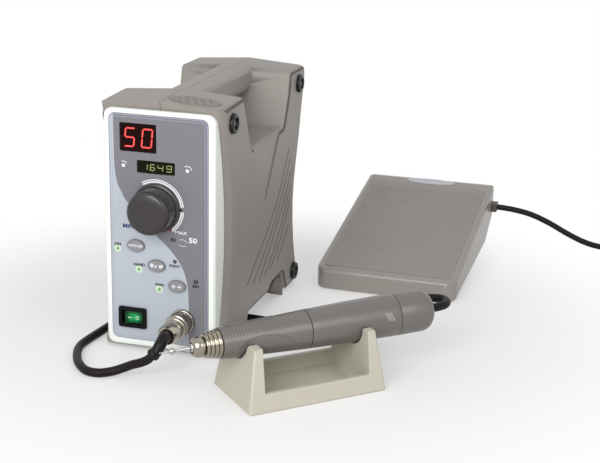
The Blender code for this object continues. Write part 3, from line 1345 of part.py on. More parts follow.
def build_power():
    low = ARCH_HUMP_Z + SHELL_WALL + GAP
    top = low + CHASSIS_THICK
    half = CHASSIS_WIDTH / 2
    adopt(box(
        "chassis_plate", (-half, CHASSIS_FRONT_Y, low), (half, CHASSIS_REAR_Y, top)),
        "chassis_plate", "steel")
    seat = top + GAP
    core = slab("core", rectangle(
        -CORE_WIDTH / 2, seat, CORE_WIDTH / 2, seat + CORE_TALL, CHASSIS_THICK, 2),
        "front", CORE_Y - CORE_DEPTH / 2, CORE_Y + CORE_DEPTH / 2)
    middle = seat + CORE_TALL / 2
    coil = slab("coil", rectangle(
        -COIL_WIDTH / 2, CORE_Y - COIL_DEPTH / 2, COIL_WIDTH / 2, CORE_Y + COIL_DEPTH / 2,
        COIL_DEPTH / 6, 4), "top", middle - COIL_TALL / 2, middle + COIL_TALL / 2)
    adopt(joined("transformer", [core, coil]), "transformer", "copper")
    board_low = seat + POWER_BOARD_RISE
    board_top = board_low + BOARD_THICK
    half = POWER_BOARD_WIDTH / 2
    board = box(
        "power_board", (-half, POWER_BOARD_FRONT_Y, board_low), (half, POWER_BOARD_REAR_Y, board_top))
    pieces = [board]
    for x in (STANDOFF_INSET - half, half - STANDOFF_INSET):
        for y in (POWER_BOARD_FRONT_Y + STANDOFF_INSET, POWER_BOARD_REAR_Y - STANDOFF_INSET):
            pieces.append(rod(
                "standoff", STANDOFF_RADIUS, (x, y, seat), (x, y, board_low + BOARD_THICK / 2)))
    root = board_low + BOARD_THICK / 2
    for share in (-1, 1):
        x = share * CAPACITOR_RADIUS * 3 / 2
        y = POWER_BOARD_FRONT_Y + CAPACITOR_RADIUS * 2
        pieces.append(rod(
            "capacitor", CAPACITOR_RADIUS, (x, y, root), (x, y, board_top + CAPACITOR_TALL)))
    sink_y = POWER_BOARD_REAR_Y - SINK_THICK - STANDOFF_INSET
    sink = box(
        "sink", (-half + STANDOFF_INSET * 2, sink_y, root),
        (half - STANDOFF_INSET * 2, sink_y + SINK_THICK, board_top + SINK_TALL))
    fin_pitch = SINK_THICK / SINK_FINS
    gaps = [
        box("fin_gap", (-half, sink_y + fin_pitch * (index + 1 / 2), board_top + SINK_BASE),
            (half, sink_y + fin_pitch * (index + 1), board_top + SINK_TALL + OVERRUN))
        for index in range(SINK_FINS - 1)
    ]
    pieces.append(cut("sink", sink, gaps))
    adopt(joined("power_board", pieces), "power_board", "board_green")


# Bur rest let into the deck

def build_bur_rest():
    plate = slab(
        "bur_rest", ellipse(0, 0, REST_LONG / 2, REST_SHORT / 2), "top",
        REST_PROUD - REST_THICK, REST_PROUD, REST_PROUD / 2)
    holes = []
    for row, count in enumerate(REST_ROWS):
        y = (row - (len(REST_ROWS) - 1) / 2) * REST_ROW_PITCH
        for index in range(count):
            x = (index - (count - 1) / 2) * REST_HOLE_PITCH
            holes.append(rod(
                "bur_hole", REST_HOLE_RADIUS, (x, y, REST_PROUD - REST_HOLE_DEPTH), (x, y, OVERRUN),
                BUR_HOLE_STEPS))
    adopt(on_deck(cut("bur_rest", plate, holes)), "bur_rest", "rubber_black")


# Cradle for the handpiece: a tray between two saddles

cradle_middle = bpy.data.objects.new("cradle_middle", None)
bpy.context.scene.collection.objects.link(cradle_middle)
cradle_middle.parent = set_origin
cradle_middle.location = (CRADLE_X, CRADLE_Y, 0)
cradle_middle.rotation_euler.z = CRADLE_YAW

handpiece_axis = bpy.data.objects.new("handpiece_axis", None)
bpy.context.scene.collection.objects.link(handpiece_axis)
handpiece_axis.parent = cradle_middle
handpiece_axis.matrix_basis = Matrix.Translation((0, 0, AXIS_Z)) @ Matrix(
    ((0, 0, 1, 0), (1, 0, 0, 0), (0, 1, 0, 0), (0, 0, 0, 1)))


def case_radius(s):
    """Outer radius of the grip and motor casing at a distance along the axis."""
    stations = (
        (NOSE_REAR_S, GRIP_FRONT_RADIUS), (GRIP_REAR_S, GRIP_REAR_RADIUS),
        (MOTOR_MID_S, MOTOR_MID_RADIUS), (MOTOR_REAR_S, MOTOR_REAR_RADIUS),
    )
    for (s0, r0), (s1, r1) in zip(stations, stations[1:]):
        if s <= s1:
            return r0 + (r1 - r0) * (s - s0) / (s1 - s0)
    return MOTOR_REAR_RADIUS


def tapered_block(name, half_u, half_v, height, slope_u, slope_v, edge):
    """A block whose four sides lean in towards its top, with softened edges."""
    block = box(name, (-half_u, -half_v, 0), (half_u, half_v, height))
    for vert in block.data.vertices:
        if vert.co.z > height / 2:
            vert.co.x -= math.copysign(slope_u, vert.co.x)
            vert.co.y -= math.copysign(slope_v, vert.co.y)
    rounding = block.modifiers.new("edges", "BEVEL")
    rounding.width = edge
    rounding.segments = EDGE_STEPS
    return frozen(block, name)


def build_cradle():
    half_u = CRADLE_LENGTH / 2
    half_v = CRADLE_WIDTH / 2
    block = tapered_block(
        "cradle", half_u, half_v, CRADLE_HEIGHT, CRADLE_END_SLOPE, CRADLE_SIDE_SLOPE, CRADLE_EDGE)
    inner = half_u - CRADLE_END_WALL
    rail_v = half_v - CRADLE_SIDE_SLOPE * CRADLE_RAIL_HEIGHT / CRADLE_HEIGHT
    tools = [
        box("side_window", (-inner, -half_v * 2, CRADLE_RAIL_HEIGHT), (inner, half_v * 2, CRADLE_HEIGHT * 2)),
        box("tray", (-inner, CRADLE_RAIL_WALL - rail_v, CRADLE_FLOOR),
            (inner, rail_v - CRADLE_RAIL_WALL, CRADLE_RAIL_HEIGHT * 2)),
    ]
    for side in (-1, 1):
        radius = case_radius(half_u if side > 0 else -inner) + SADDLE_GAP
        mouth = CRADLE_HEIGHT - CRADLE_PEAK_ROUND
        outline = arc_points((0, AXIS_Z), radius, math.pi, math.tau, 12)
        outline += [
            (radius, mouth), (radius + CRADLE_MOUTH, CRADLE_HEIGHT + OVERRUN),
            (-radius - CRADLE_MOUTH, CRADLE_HEIGHT + OVERRUN), (-radius, mouth),
        ]
        low, high = sorted((side * (inner - OVERRUN), side * (half_u + OVERRUN)))
        tools.append(slab("saddle", outline, "side", low, high))
    block = cut("cradle", block, tools)
    adopt(block, "cradle", "cradle_beige", cradle_middle)


# Handpiece: nose, grip sleeve, motor housing and rear cap round the spindle

def round_piece(name, profile, finish_name, steps=SOCKET_STEPS, closed=False):
    return adopt(turned(name, profile, steps, closed), name, finish_name, handpiece_axis)


def build_handpiece():
    spigot = BEARING_RADIUS
    ring = (NOSE_REAR_S - NOSE_STEP_S) / (NOSE_RING_COUNT + 1)
    profile = [
        (spigot, NOSE_REAR_S + SPIGOT_LENGTH), (spigot, NOSE_REAR_S), (NOSE_REAR_RADIUS, NOSE_REAR_S)]
    for index in range(NOSE_RING_COUNT, 0, -1):
        s = NOSE_STEP_S + ring * index
        share = index / (NOSE_RING_COUNT + 1)
        radius = NOSE_STEP_RADIUS + (NOSE_REAR_RADIUS - NOSE_STEP_RADIUS) * share
        profile += [(radius, s), (radius - NOSE_GROOVE / 2, s)]
    profile += [
        (NOSE_STEP_RADIUS, NOSE_STEP_S), (NOSE_STEP_RADIUS - NOSE_GROOVE * 2, NOSE_STEP_S),
        (NOSE_STEP_RADIUS - NOSE_GROOVE * 2, NOSE_STEP_S - NOSE_GROOVE * 2),
        (NOSE_STEP_RADIUS - NOSE_GROOVE, NOSE_STEP_S - NOSE_GROOVE * 2),
        (NOSE_TIP_RADIUS, NOSE_FRONT_S), (NOSE_BORE, NOSE_FRONT_S),
        (NOSE_BORE, NOSE_REAR_S + SPIGOT_LENGTH),
    ]
    round_piece("nose_cone", profile, "nickel", closed=True)
    front = NOSE_FRONT_S - COLLET_PROUD
    round_piece("collet", [
        (COLLET_RADIUS, COLLET_REAR_S), (COLLET_RADIUS, front + COLLET_BORE), (COLLET_BORE * 4 / 3, front),
        (COLLET_BORE, front), (COLLET_BORE, COLLET_REAR_S),
    ], "steel", SMALL_STEPS, True)
    head = arc_points((0, BUR_HEAD_S), BUR_HEAD_RADIUS, math.pi / 3, -math.pi / 3, 4)
    round_piece("bur", [
        (0, BUR_REAR_S), (BUR_SHANK_RADIUS, BUR_REAR_S), (BUR_SHANK_RADIUS, NOSE_FRONT_S - COLLET_PROUD * 4),
        *head, (BUR_NECK_RADIUS, BUR_HEAD_S - BUR_HEAD_RADIUS * 3 / 2),
        (BUR_NECK_RADIUS / 3, BUR_TIP_S), (0, BUR_TIP_S),
    ], "steel", SMALL_STEPS)
    tube_outer = spigot + GAP + TUBE_WALL
    grip_front = NOSE_REAR_S + GAP
    grip_rear = GRIP_REAR_S - GAP
    grip = turned("grip_sleeve", [
        (GRIP_REAR_RADIUS - SEAM_CHAMFER, grip_rear), (GRIP_REAR_RADIUS, grip_rear - SEAM_CHAMFER),
        (GRIP_FRONT_RADIUS, grip_front + SEAM_CHAMFER), (GRIP_FRONT_RADIUS - SEAM_CHAMFER, grip_front),
        (tube_outer + GAP, grip_front), (tube_outer + GAP, NOSE_REAR_S / 2),
        (GRIP_REAR_RADIUS - CASE_WALL * 2, NOSE_REAR_S / 3), (GRIP_REAR_RADIUS - CASE_WALL * 2, grip_rear),
    ], SOCKET_STEPS, True)
    ribs = []
    for index in range(RIB_COUNT):
        s = RIB_FRONT_S + RIB_PITCH * index
        radius = case_radius(s) - RIB_RADIUS / 2
        points = [
            (radius * math.sin(RIB_SWEEP * (step / 2 - 1)), radius * math.cos(RIB_SWEEP * (step / 2 - 1)), s)
            for step in range(5)
        ]
        ribs.append(tube("rib", points, RIB_RADIUS, 0))
    adopt(joined("grip_sleeve", [grip, *ribs]), "grip_sleeve", "handpiece_grey", handpiece_axis)
    case_bore = STATOR_RADIUS + GAP
    shoulder = GRIP_REAR_S + CASE_WALL
    round_piece("motor_housing", [
        (MOTOR_REAR_RADIUS - SEAM_CHAMFER, MOTOR_REAR_S), (MOTOR_REAR_RADIUS, MOTOR_REAR_S - SEAM_CHAMFER),
        (MOTOR_MID_RADIUS, MOTOR_MID_S), (GRIP_REAR_RADIUS, GRIP_REAR_S + SEAM_CHAMFER),
        (GRIP_REAR_RADIUS - SEAM_CHAMFER, GRIP_REAR_S), (tube_outer, GRIP_REAR_S),
        (tube_outer, NOSE_REAR_S + GAP * 2), (spigot + GAP, NOSE_REAR_S + GAP * 2),
        (spigot + GAP, shoulder), (case_bore, shoulder), (case_bore, MOTOR_REAR_S),
    ], "handpiece_grey", closed=True)
    curve = arc_points(
        (MOTOR_REAR_RADIUS - CAP_ROUND, CAP_REAR_S - CAP_ROUND), CAP_ROUND, math.pi / 2, 0, 5)
    cap_front = MOTOR_REAR_S + GAP
    plug_front = REAR_BEARING_S - BEARING_WIDTH / 2
    seat = BEARING_RADIUS + GAP
    round_piece("rear_cap", [
        (0, CAP_REAR_S), *curve, (MOTOR_REAR_RADIUS, cap_front + SEAM_CHAMFER),
        (MOTOR_REAR_RADIUS - SEAM_CHAMFER, cap_front), (STATOR_RADIUS, cap_front),
        (STATOR_RADIUS, plug_front), (seat, plug_front), (seat, REAR_BEARING_S + BEARING_WIDTH / 2 + GAP),
        (SPINDLE_HEAD_RADIUS, REAR_BEARING_S + BEARING_WIDTH / 2 + GAP),
        (SPINDLE_HEAD_RADIUS, SPINDLE_REAR_S + GAP * 2), (0, SPINDLE_REAR_S + GAP * 2),
    ], "handpiece_grey")
    socket_front = COLLET_REAR_S - COLLET_SEAT_DEPTH
    round_piece("spindle", [
        (0, SPINDLE_REAR_S), (SPINDLE_RADIUS, SPINDLE_REAR_S), (SPINDLE_RADIUS, ROTOR_REAR_S),
        (ROTOR_RADIUS, ROTOR_REAR_S), (ROTOR_RADIUS, ROTOR_FRONT_S), (SPINDLE_RADIUS, ROTOR_FRONT_S),
        (SPINDLE_RADIUS, socket_front + SPINDLE_HEAD_LENGTH),
        (SPINDLE_HEAD_RADIUS, socket_front + SPINDLE_HEAD_LENGTH), (SPINDLE_HEAD_RADIUS, socket_front),
        (COLLET_RADIUS + GAP, socket_front), (COLLET_RADIUS + GAP, COLLET_REAR_S + GAP),
        (0, COLLET_REAR_S + GAP),
    ], "steel", SMALL_STEPS)
    round_piece("stator", [
        (STATOR_RADIUS, ROTOR_REAR_S + STATOR_OVERHANG), (STATOR_RADIUS, ROTOR_FRONT_S - STATOR_OVERHANG),
        (STATOR_BORE, ROTOR_FRONT_S - STATOR_OVERHANG), (STATOR_BORE, ROTOR_REAR_S + STATOR_OVERHANG),
    ], "copper", SMALL_STEPS, True)
    for name, s in (("front_bearing", FRONT_BEARING_S), ("rear_bearing", REAR_BEARING_S)):
        low = s - BEARING_WIDTH / 2
        high = s + BEARING_WIDTH / 2
        inner = SPINDLE_RADIUS + GAP
        round_piece(name, [
            (BEARING_RADIUS, high), (BEARING_RADIUS, low), (inner, low), (inner, high),
        ], "steel", SMALL_STEPS, True)


# Foot pedal: a cover that tips on the base's two pins and is held up by a spring

def pedal_slope():
    """Place and tilt of the cover's flat top, from the middle of its front edge."""
    angle = math.atan2(PEDAL_REAR_HEIGHT - PEDAL_FRONT_HEIGHT, PEDAL_DEPTH)
    return Matrix.Translation((PEDAL_X, PEDAL_FRONT_Y, PEDAL_FRONT_HEIGHT)) @ Matrix.Rotation(angle, 4, "X")


def cover_underside(y):
    """Height of the cover's inner face at a distance from its front edge."""
    rise = (PEDAL_REAR_HEIGHT - PEDAL_FRONT_HEIGHT) / PEDAL_DEPTH
    return PEDAL_FRONT_HEIGHT + rise * y - PEDAL_WALL * math.hypot(1, rise)


def mat_length():
    return math.hypot(PEDAL_DEPTH, PEDAL_REAR_HEIGHT - PEDAL_FRONT_HEIGHT) - MAT_NOSE_MARGIN - MAT_TOE_MARGIN


def mat_outline(slack=0.0):
    half = PEDAL_WIDTH / 2 - MAT_SIDE_MARGIN
    return rectangle(
        -half - slack, MAT_NOSE_MARGIN - slack, half + slack, MAT_NOSE_MARGIN + mat_length() + slack,
        MAT_CORNER + slack, 4)


def pedal_block(name, corners, inset, edge):
    """A side outline made solid across the pedal, with its corners rounded in top view."""
    half = PEDAL_WIDTH / 2 - inset
    outline = [(PEDAL_FRONT_Y + y, z, radius) for y, z, radius in corners]
    block = slab(name, rounded_outline(outline, 3), "side", PEDAL_X - half, PEDAL_X + half, edge)
    plan = slab(name + "_plan", rectangle(
        PEDAL_X - half, PEDAL_FRONT_Y + inset, PEDAL_X + half, PEDAL_FRONT_Y + PEDAL_DEPTH - inset,
        PEDAL_CORNER - inset, 4), "top", -PEDAL_REAR_HEIGHT, PEDAL_REAR_HEIGHT * 2)
    combine(block, plan, "INTERSECT")
    block = frozen(block, name)
    bpy.data.objects.remove(plan, do_unlink=True)
    return block


def hinge_point():
    return Vector((PEDAL_X, PEDAL_FRONT_Y + HINGE_Y, HINGE_Z))


def spring_top():
    """Height of the spring's upper end, just under the cover's inner face."""
    return cover_underside(SPRING_Y - SPRING_RADIUS) - GAP


def contact_places():
    """The pedal contact's middle in top view, and the height of its top."""
    return (PEDAL_X + CONTACT_X, PEDAL_FRONT_Y + CONTACT_Y), BASE_FLOOR + CONTACT_HEIGHT


def build_pedal_cover():
    wall = PEDAL_WALL
    cover = pedal_block("pedal_cover", (
        (0, PEDAL_LIFT, 0), (PEDAL_KNEE_Y, PEDAL_KNEE_Z, 0), (PEDAL_STEP_Y, PEDAL_STEP_Z, 0),
        (PEDAL_DEPTH, PEDAL_TAIL_Z, 0), (PEDAL_DEPTH, PEDAL_REAR_HEIGHT, PEDAL_TOE_ROUND),
        (0, PEDAL_FRONT_HEIGHT, PEDAL_NOSE_ROUND),
    ), 0, PEDAL_EDGE)
    hollow = pedal_block("pedal_hollow", (
        (wall, -OVERRUN * 2, 0), (PEDAL_DEPTH - wall, -OVERRUN * 2, 0),
        (PEDAL_DEPTH - wall, cover_underside(PEDAL_DEPTH - wall), PEDAL_TOE_ROUND - wall),
        (wall, cover_underside(wall), PEDAL_NOSE_ROUND - wall),
    ), wall, wall / 4)
    contact, contact_top = contact_places()
    press = (CONTACT_Y - HINGE_Y) * math.tan(PEDAL_TRAVEL)
    plunger = rod(
        "plunger", PLUNGER_RADIUS, (*contact, contact_top + press + GAP),
        (*contact, cover_underside(CONTACT_Y) + wall))
    spring_y = PEDAL_FRONT_Y + SPRING_Y
    top = spring_top()
    root = (PEDAL_X, spring_y, top + wall)
    post = rod("post", SPRING_POST_RADIUS, (PEDAL_X, spring_y, top - SPRING_POST_HEIGHT), root)
    collar = rod("collar", SPRING_RADIUS + SPRING_WIRE * 2, (PEDAL_X, spring_y, top + GAP), root)
    hollow = cut("pedal_hollow", hollow, [plunger, post, collar])
    seat = slab("mat_seat", mat_outline(GAP), "top", -MAT_SEAT - GAP, OVERRUN)
    seat.data.transform(pedal_slope())
    hinge = hinge_point()
    inner = PEDAL_WIDTH / 2 - wall
    holes = [rod(
        "hinge_hole", HINGE_RADIUS + GAP, hinge + Vector((side * (inner - OVERRUN), 0, 0)),
        hinge + Vector((side * (inner + wall - HINGE_HOLE_WALL), 0, 0))) for side in (-1, 1)]
    cover = cut("pedal_cover", cover, [hollow, seat, *holes])
    right = PEDAL_X + PEDAL_WIDTH / 2
    gland = box(
        "gland", (right - wall / 2, PEDAL_FRONT_Y + GLAND_Y - GLAND_LENGTH / 2, GLAND_Z - GLAND_TALL / 2),
        (right + GLAND_PROUD, PEDAL_FRONT_Y + GLAND_Y + GLAND_LENGTH / 2, GLAND_Z + GLAND_TALL / 2))
    cover = joined("pedal_cover", [cover, gland])
    adopt(set_pivot(cover, hinge), "pedal_cover", "shell_grey")


def build_pedal_base():
    inset = PEDAL_WALL + BASE_GAP
    base = pedal_block("pedal_base", (
        (inset, 0, 0), (BASE_REAR_Y, 0, 0), (BASE_REAR_Y, BASE_REAR_HEIGHT, 0), (inset, BASE_FRONT_HEIGHT, 0),
    ), inset, 0)
    tray = pedal_block("pedal_tray", (
        (inset + BASE_WALL, BASE_FLOOR, 0), (BASE_REAR_Y - BASE_WALL, BASE_FLOOR, 0),
        (BASE_REAR_Y - BASE_WALL, BASE_REAR_HEIGHT * 2, 0), (inset + BASE_WALL, BASE_REAR_HEIGHT * 2, 0),
    ), inset + BASE_WALL, 0)
    base = cut("pedal_base", base, [tray])
    root = BASE_FLOOR / 2
    (contact_x, contact_y), contact_top = contact_places()
    switch = box(
        "contact", (contact_x - CONTACT_WIDTH / 2, contact_y - CONTACT_DEPTH / 2, root),
        (contact_x + CONTACT_WIDTH / 2, contact_y + CONTACT_DEPTH / 2, contact_top))
    spring_y = PEDAL_FRONT_Y + SPRING_Y
    post = rod(
        "post", SPRING_POST_RADIUS, (PEDAL_X, spring_y, root),
        (PEDAL_X, spring_y, BASE_FLOOR + SPRING_POST_HEIGHT))
    hinge = hinge_point()
    inner = PEDAL_WIDTH / 2 - PEDAL_WALL
    pins = [rod(
        "hinge_pin", HINGE_RADIUS, hinge + Vector((side * (inner - BASE_GAP - BASE_WALL / 2), 0, 0)),
        hinge + Vector((side * (inner + PEDAL_WALL - HINGE_HOLE_WALL - GAP), 0, 0))) for side in (-1, 1)]
    adopt(joined("pedal_base", [base, switch, post, *pins]), "pedal_base", "plastic_black")


def build_pedal_spring():
    """The spring stands round both posts; its last half turns lie flat."""
    spring_y = PEDAL_FRONT_Y + SPRING_Y
    low = BASE_FLOOR + GAP + SPRING_WIRE
    rise = spring_top() - SPRING_WIRE - low
    steps = SPRING_TURNS * STEM_STEPS
    flat = STEM_STEPS / 2
    turns = []
    for step in range(steps + 1):
        angle = math.tau * step / STEM_STEPS
        share = min(max((step - flat) / (steps - flat * 2), 0), 1)
        turns.append((
            PEDAL_X + SPRING_RADIUS * math.cos(angle), spring_y + SPRING_RADIUS * math.sin(angle),
            low + rise * share))
    adopt(tube("pedal_spring", turns, SPRING_WIRE, 0), "pedal_spring", "steel")


def build_pedal_mat():
    top = MAT_THICK - MAT_SEAT
    mat = slab("pedal_mat", mat_outline(), "top", -MAT_SEAT, top)
    start = MAT_NOSE_MARGIN + MAT_BORDER
    pitch = (mat_length() - MAT_BORDER * 2) / MAT_RIB_COUNT
    ridge = [(start, top - MAT_SEAT)]
    for index in range(MAT_RIB_COUNT):
        y = start + pitch * index
        ridge += [(y, top), (y + pitch / 4, top + MAT_RIB_RISE), (y + pitch * 3 / 4, top + MAT_RIB_RISE)]
    ridge += [(start + pitch * MAT_RIB_COUNT, top), (start + pitch * MAT_RIB_COUNT, top - MAT_SEAT)]
    half = PEDAL_WIDTH / 2 - MAT_SIDE_MARGIN - MAT_BORDER
    ribs = slab("mat_ribs", list(reversed(ridge)), "side", -half, half)
    mat = joined("pedal_mat", [mat, ribs])
    mat.data.transform(pedal_slope())
    adopt(mat, "pedal_mat", "mat_grey")


# Motor cord: from its boot, round under the unit, and in a loop to the rear cap

def beside_cradle(s, v, z):
    """A point given along the handpiece, across it, and up from the floor."""
    cosine = math.cos(CRADLE_YAW)
    sine = math.sin(CRADLE_YAW)
    return (CRADLE_X + s * cosine - v * sine, CRADLE_Y + s * sine + v * cosine, z)


BOOT_ROUTE = (
    (SOCKET_X, -0.0309, SOCKET_Z), (SOCKET_X, -0.0355, SOCKET_Z), (0.0168, -0.0398, 0.0248),
    (0.0151, -0.04267, 0.02077), (0.0121, -0.0434, 0.0175),
)
CORD_ROUTE = (
    (0.01183, -0.04346, 0.01721), (0.0095, -0.04402, 0.01467), (0.0042, -0.0443, 0.0118),
    (-0.0015, -0.0440, 0.0096), (-0.0070, -0.0444, 0.0070), (-0.0122, -0.0454, 0.0048),
    (-0.0170, -0.0470, 0.0035), (-0.0235, -0.0502, 0.0031), (-0.0330, -0.0488, 0.0031),
    (-0.0435, -0.0380, 0.0031), (-0.0512, -0.0239, 0.0031), (-0.0550, -0.0113, 0.0031),
    (-0.0550, 0.0005, 0.0031), (-0.0535, 0.0154, 0.0031), (-0.0520, 0.0300, 0.0031),
    (-0.0512, 0.0440, 0.0031), (-0.0495, 0.0570, 0.0031), (-0.0430, 0.0690, 0.0031),
    (-0.0300, 0.0765, 0.0031), (-0.0100, 0.0795, 0.0031), (0.0150, 0.0800, 0.0031),
    (0.0460, 0.0790, 0.0031), (0.0760, 0.0750, 0.0031), (0.1020, 0.0670, 0.0034),
    (0.1240, 0.0570, 0.0070),
    beside_cradle(0.0840, 0.0360, 0.0190), beside_cradle(0.0925, 0.0310, 0.0272),
    beside_cradle(0.1005, 0.0262, 0.0340), beside_cradle(0.1085, 0.0215, 0.0383),
    beside_cradle(0.1145, 0.0152, 0.0398), beside_cradle(0.1160, 0.0080, AXIS_Z),
    beside_cradle(0.1122, 0.0024, AXIS_Z), beside_cradle(0.1050, 0.0000, AXIS_Z),
    beside_cradle(CAP_REAR_S + GAP, 0.0, AXIS_Z),
)


def build_motor_cord():
    points, _ = smooth_route(BOOT_ROUTE, CORD_STEP / 3)
    points = with_straight_ends(points, BOOT_ROUTE, CORD_RADIUS / 2)
    count = len(points) - 1
    radii = [
        BOOT_START_RADIUS + (BOOT_END_RADIUS - BOOT_START_RADIUS) * index / count
        for index in range(count + 1)
    ]
    adopt(tube("plug_boot", points, BOOT_START_RADIUS, 3, radii), "plug_boot", "rubber_black")
    points, length = smooth_route(CORD_ROUTE, CORD_STEP)
    points = with_straight_ends(points, CORD_ROUTE, CORD_RADIUS * 2)
    adopt(tube("motor_cord", points, CORD_RADIUS, 2), "motor_cord", "rubber_black")
    print("motor cord length %.3f m" % length)


# Pedal cord: from the pedal's side to a neat coil with its plug

PEDAL_CORD_ROUTE = (
    (PEDAL_X + PEDAL_WIDTH / 2 + GLAND_PROUD + GAP, 0.3360, GLAND_Z), (0.1920, 0.3362, 0.0321),
    (0.2080, 0.3370, 0.0290), (0.2240, 0.3385, 0.0225), (0.2400, 0.3405, 0.0140),
    (0.2560, 0.3430, 0.0068), (0.2720, 0.3455, 0.0032), (0.2900, 0.3475, 0.0026),
    (0.3060, 0.3485, 0.0026), (COIL_X - PEDAL_CORD_RADIUS * 2 - GAP, 0.3485, 0.0026),
)


def coil_points():
    """Centre points of the coil: in along the floor, up a layer, and out again on top."""
    height = PEDAL_CORD_RADIUS + GAP / 3
    half_turn = COIL_STEPS // 2
    steps_in = round(COIL_TURNS_IN * COIL_STEPS)
    steps_out = round(COIL_TURNS_OUT * COIL_STEPS)
    points = [(COIL_X - PEDAL_CORD_RADIUS * 2, COIL_Y + COIL_OUTER, height)]
    radius = COIL_OUTER
    shift = COIL_PITCH / COIL_STEPS
    for step in range(steps_in + half_turn + steps_out + 1):
        angle = math.pi / 2 - math.tau * step / COIL_STEPS
        climb = min(max((step - steps_in) / half_turn, 0), 1)
        lift = COIL_PITCH * climb * climb * (3 - 2 * climb)
        points.append((
            COIL_X + radius * math.cos(angle), COIL_Y + radius * math.sin(angle), height + lift))
        radius += shift if step >= steps_in + half_turn / 2 else -shift
    last = Vector(points[-1])
    heading = Vector((math.sin(angle), -math.cos(angle), 0))
    drop = PEDAL_PLUG_RADIUS + GAP / 3 - last.z
    for share in (0.25, 0.5, 0.75, 1):
        points.append(tuple(last + heading * COIL_TAIL * share + Vector((0, 0, drop * share * share))))
    return points, heading


def least_gap(points, radius):
    """Smallest clear distance between two stretches of one tube, from its centre points."""
    closest = UNIT_DEPTH
    for index, first in enumerate(points):
        for second in points[index + COIL_STEPS // 2:]:
            closest = min(closest, (Vector(first) - Vector(second)).length)
    return closest - radius * 2


def build_pedal_cord():
    points, length = smooth_route(PEDAL_CORD_ROUTE, PEDAL_CORD_STEP)
    points = with_straight_ends(points, PEDAL_CORD_ROUTE, PEDAL_CORD_RADIUS * 2)
    adopt(tube("pedal_cord", points, PEDAL_CORD_RADIUS, 2), "pedal_cord", "rubber_black")
    turns, heading = coil_points()
    length += sum((Vector(b) - Vector(a)).length for a, b in zip(turns, turns[1:]))
    adopt(tube("pedal_cord_coil", turns, PEDAL_CORD_RADIUS, 1), "pedal_cord_coil", "rubber_black")
    print("pedal cord length %.3f m" % length)
    print("coil's least gap to itself %.2f mm" % (least_gap(turns, PEDAL_CORD_RADIUS) * 1000))
    end = Vector(turns[-1]) + heading * GAP
    end.z = PEDAL_PLUG_RADIUS + GAP / 3
    boot_end = PEDAL_BOOT_LENGTH
    body_end = boot_end + PEDAL_PLUG_LENGTH
    plug = turned("pedal_plug", [
        (0, body_end + PEDAL_PLUG_NOSE_LENGTH), (PEDAL_PLUG_NOSE_RADIUS, body_end + PEDAL_PLUG_NOSE_LENGTH),
        (PEDAL_PLUG_NOSE_RADIUS, body_end), (PEDAL_PLUG_RADIUS, body_end), (PEDAL_PLUG_RADIUS, boot_end),
        (PEDAL_CORD_RADIUS * 3 / 2, boot_end), (PEDAL_CORD_RADIUS * 5 / 4, 0), (0, 0),
    ], SMALL_STEPS)
    adopt(aimed(plug, end, heading), "pedal_plug", "plastic_black")


# The middle of the set's footprint, without the two cords, is the part's origin

CORD_PIECES = (
    "plug_body", "plug_coupling", "plug_boot", "motor_cord", "pedal_cord", "pedal_cord_coil", "pedal_plug")


def centre_the_set():
    bpy.context.view_layer.update()
    corners = [
        item.matrix_world @ vert.co
        for item in part_collection.objects if item.name not in CORD_PIECES
        for vert in item.data.vertices
    ]
    for axis in (0, 1):
        places = [corner[axis] for corner in corners]
        set_origin.location[axis] = -(min(places) + max(places)) / 2
    set_origin.location.z = -min(corner.z for corner in corners)


build_shell()
build_bumpers()
build_feet()
build_bezel()
build_label()
build_displays()
build_front_board()
build_lamps()
build_knob()
build_buttons()
build_switch()
build_socket_and_plug()
build_rear_panel()
build_power()
build_bur_rest()
build_cradle()
build_handpiece()
build_pedal_cover()
build_pedal_base()
build_pedal_spring()
build_pedal_mat()
build_motor_cord()
build_pedal_cord()
centre_the_set()
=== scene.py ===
import math

import bmesh
import bpy
from mathutils import Matrix, Vector


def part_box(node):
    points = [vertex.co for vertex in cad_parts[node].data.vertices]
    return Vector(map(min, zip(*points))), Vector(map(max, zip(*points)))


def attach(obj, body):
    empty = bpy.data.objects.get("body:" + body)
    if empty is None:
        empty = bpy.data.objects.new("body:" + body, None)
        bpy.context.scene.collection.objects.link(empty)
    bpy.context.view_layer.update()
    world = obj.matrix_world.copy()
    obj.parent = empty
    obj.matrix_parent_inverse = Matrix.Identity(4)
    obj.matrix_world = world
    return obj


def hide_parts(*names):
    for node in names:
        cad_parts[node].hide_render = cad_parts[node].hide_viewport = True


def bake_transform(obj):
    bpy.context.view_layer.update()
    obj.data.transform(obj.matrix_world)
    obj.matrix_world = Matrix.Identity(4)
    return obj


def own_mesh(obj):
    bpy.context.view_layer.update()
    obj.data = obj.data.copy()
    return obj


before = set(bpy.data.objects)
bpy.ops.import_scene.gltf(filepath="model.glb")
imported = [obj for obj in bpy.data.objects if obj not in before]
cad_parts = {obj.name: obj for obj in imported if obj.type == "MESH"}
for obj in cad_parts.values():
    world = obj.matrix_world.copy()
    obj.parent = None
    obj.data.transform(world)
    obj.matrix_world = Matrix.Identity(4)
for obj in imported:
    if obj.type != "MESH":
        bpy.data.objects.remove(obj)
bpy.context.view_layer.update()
bpy.ops.object.select_all(action="DESELECT")


# Camera: a long lens from the right of the control unit and a little above it, level to about a degree.
# Every measured place is taken from the unit's seam, its front face and the bench that it stands on.

bezel_low, bezel_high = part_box("bezel")
seam_x = (bezel_low.x + bezel_high.x) / 2
front_y = bezel_low.y


def on_unit(x, y, z):
    """A point measured from the control unit's seam, its front face and the bench."""
    return Vector((seam_x + x, front_y + y, z))


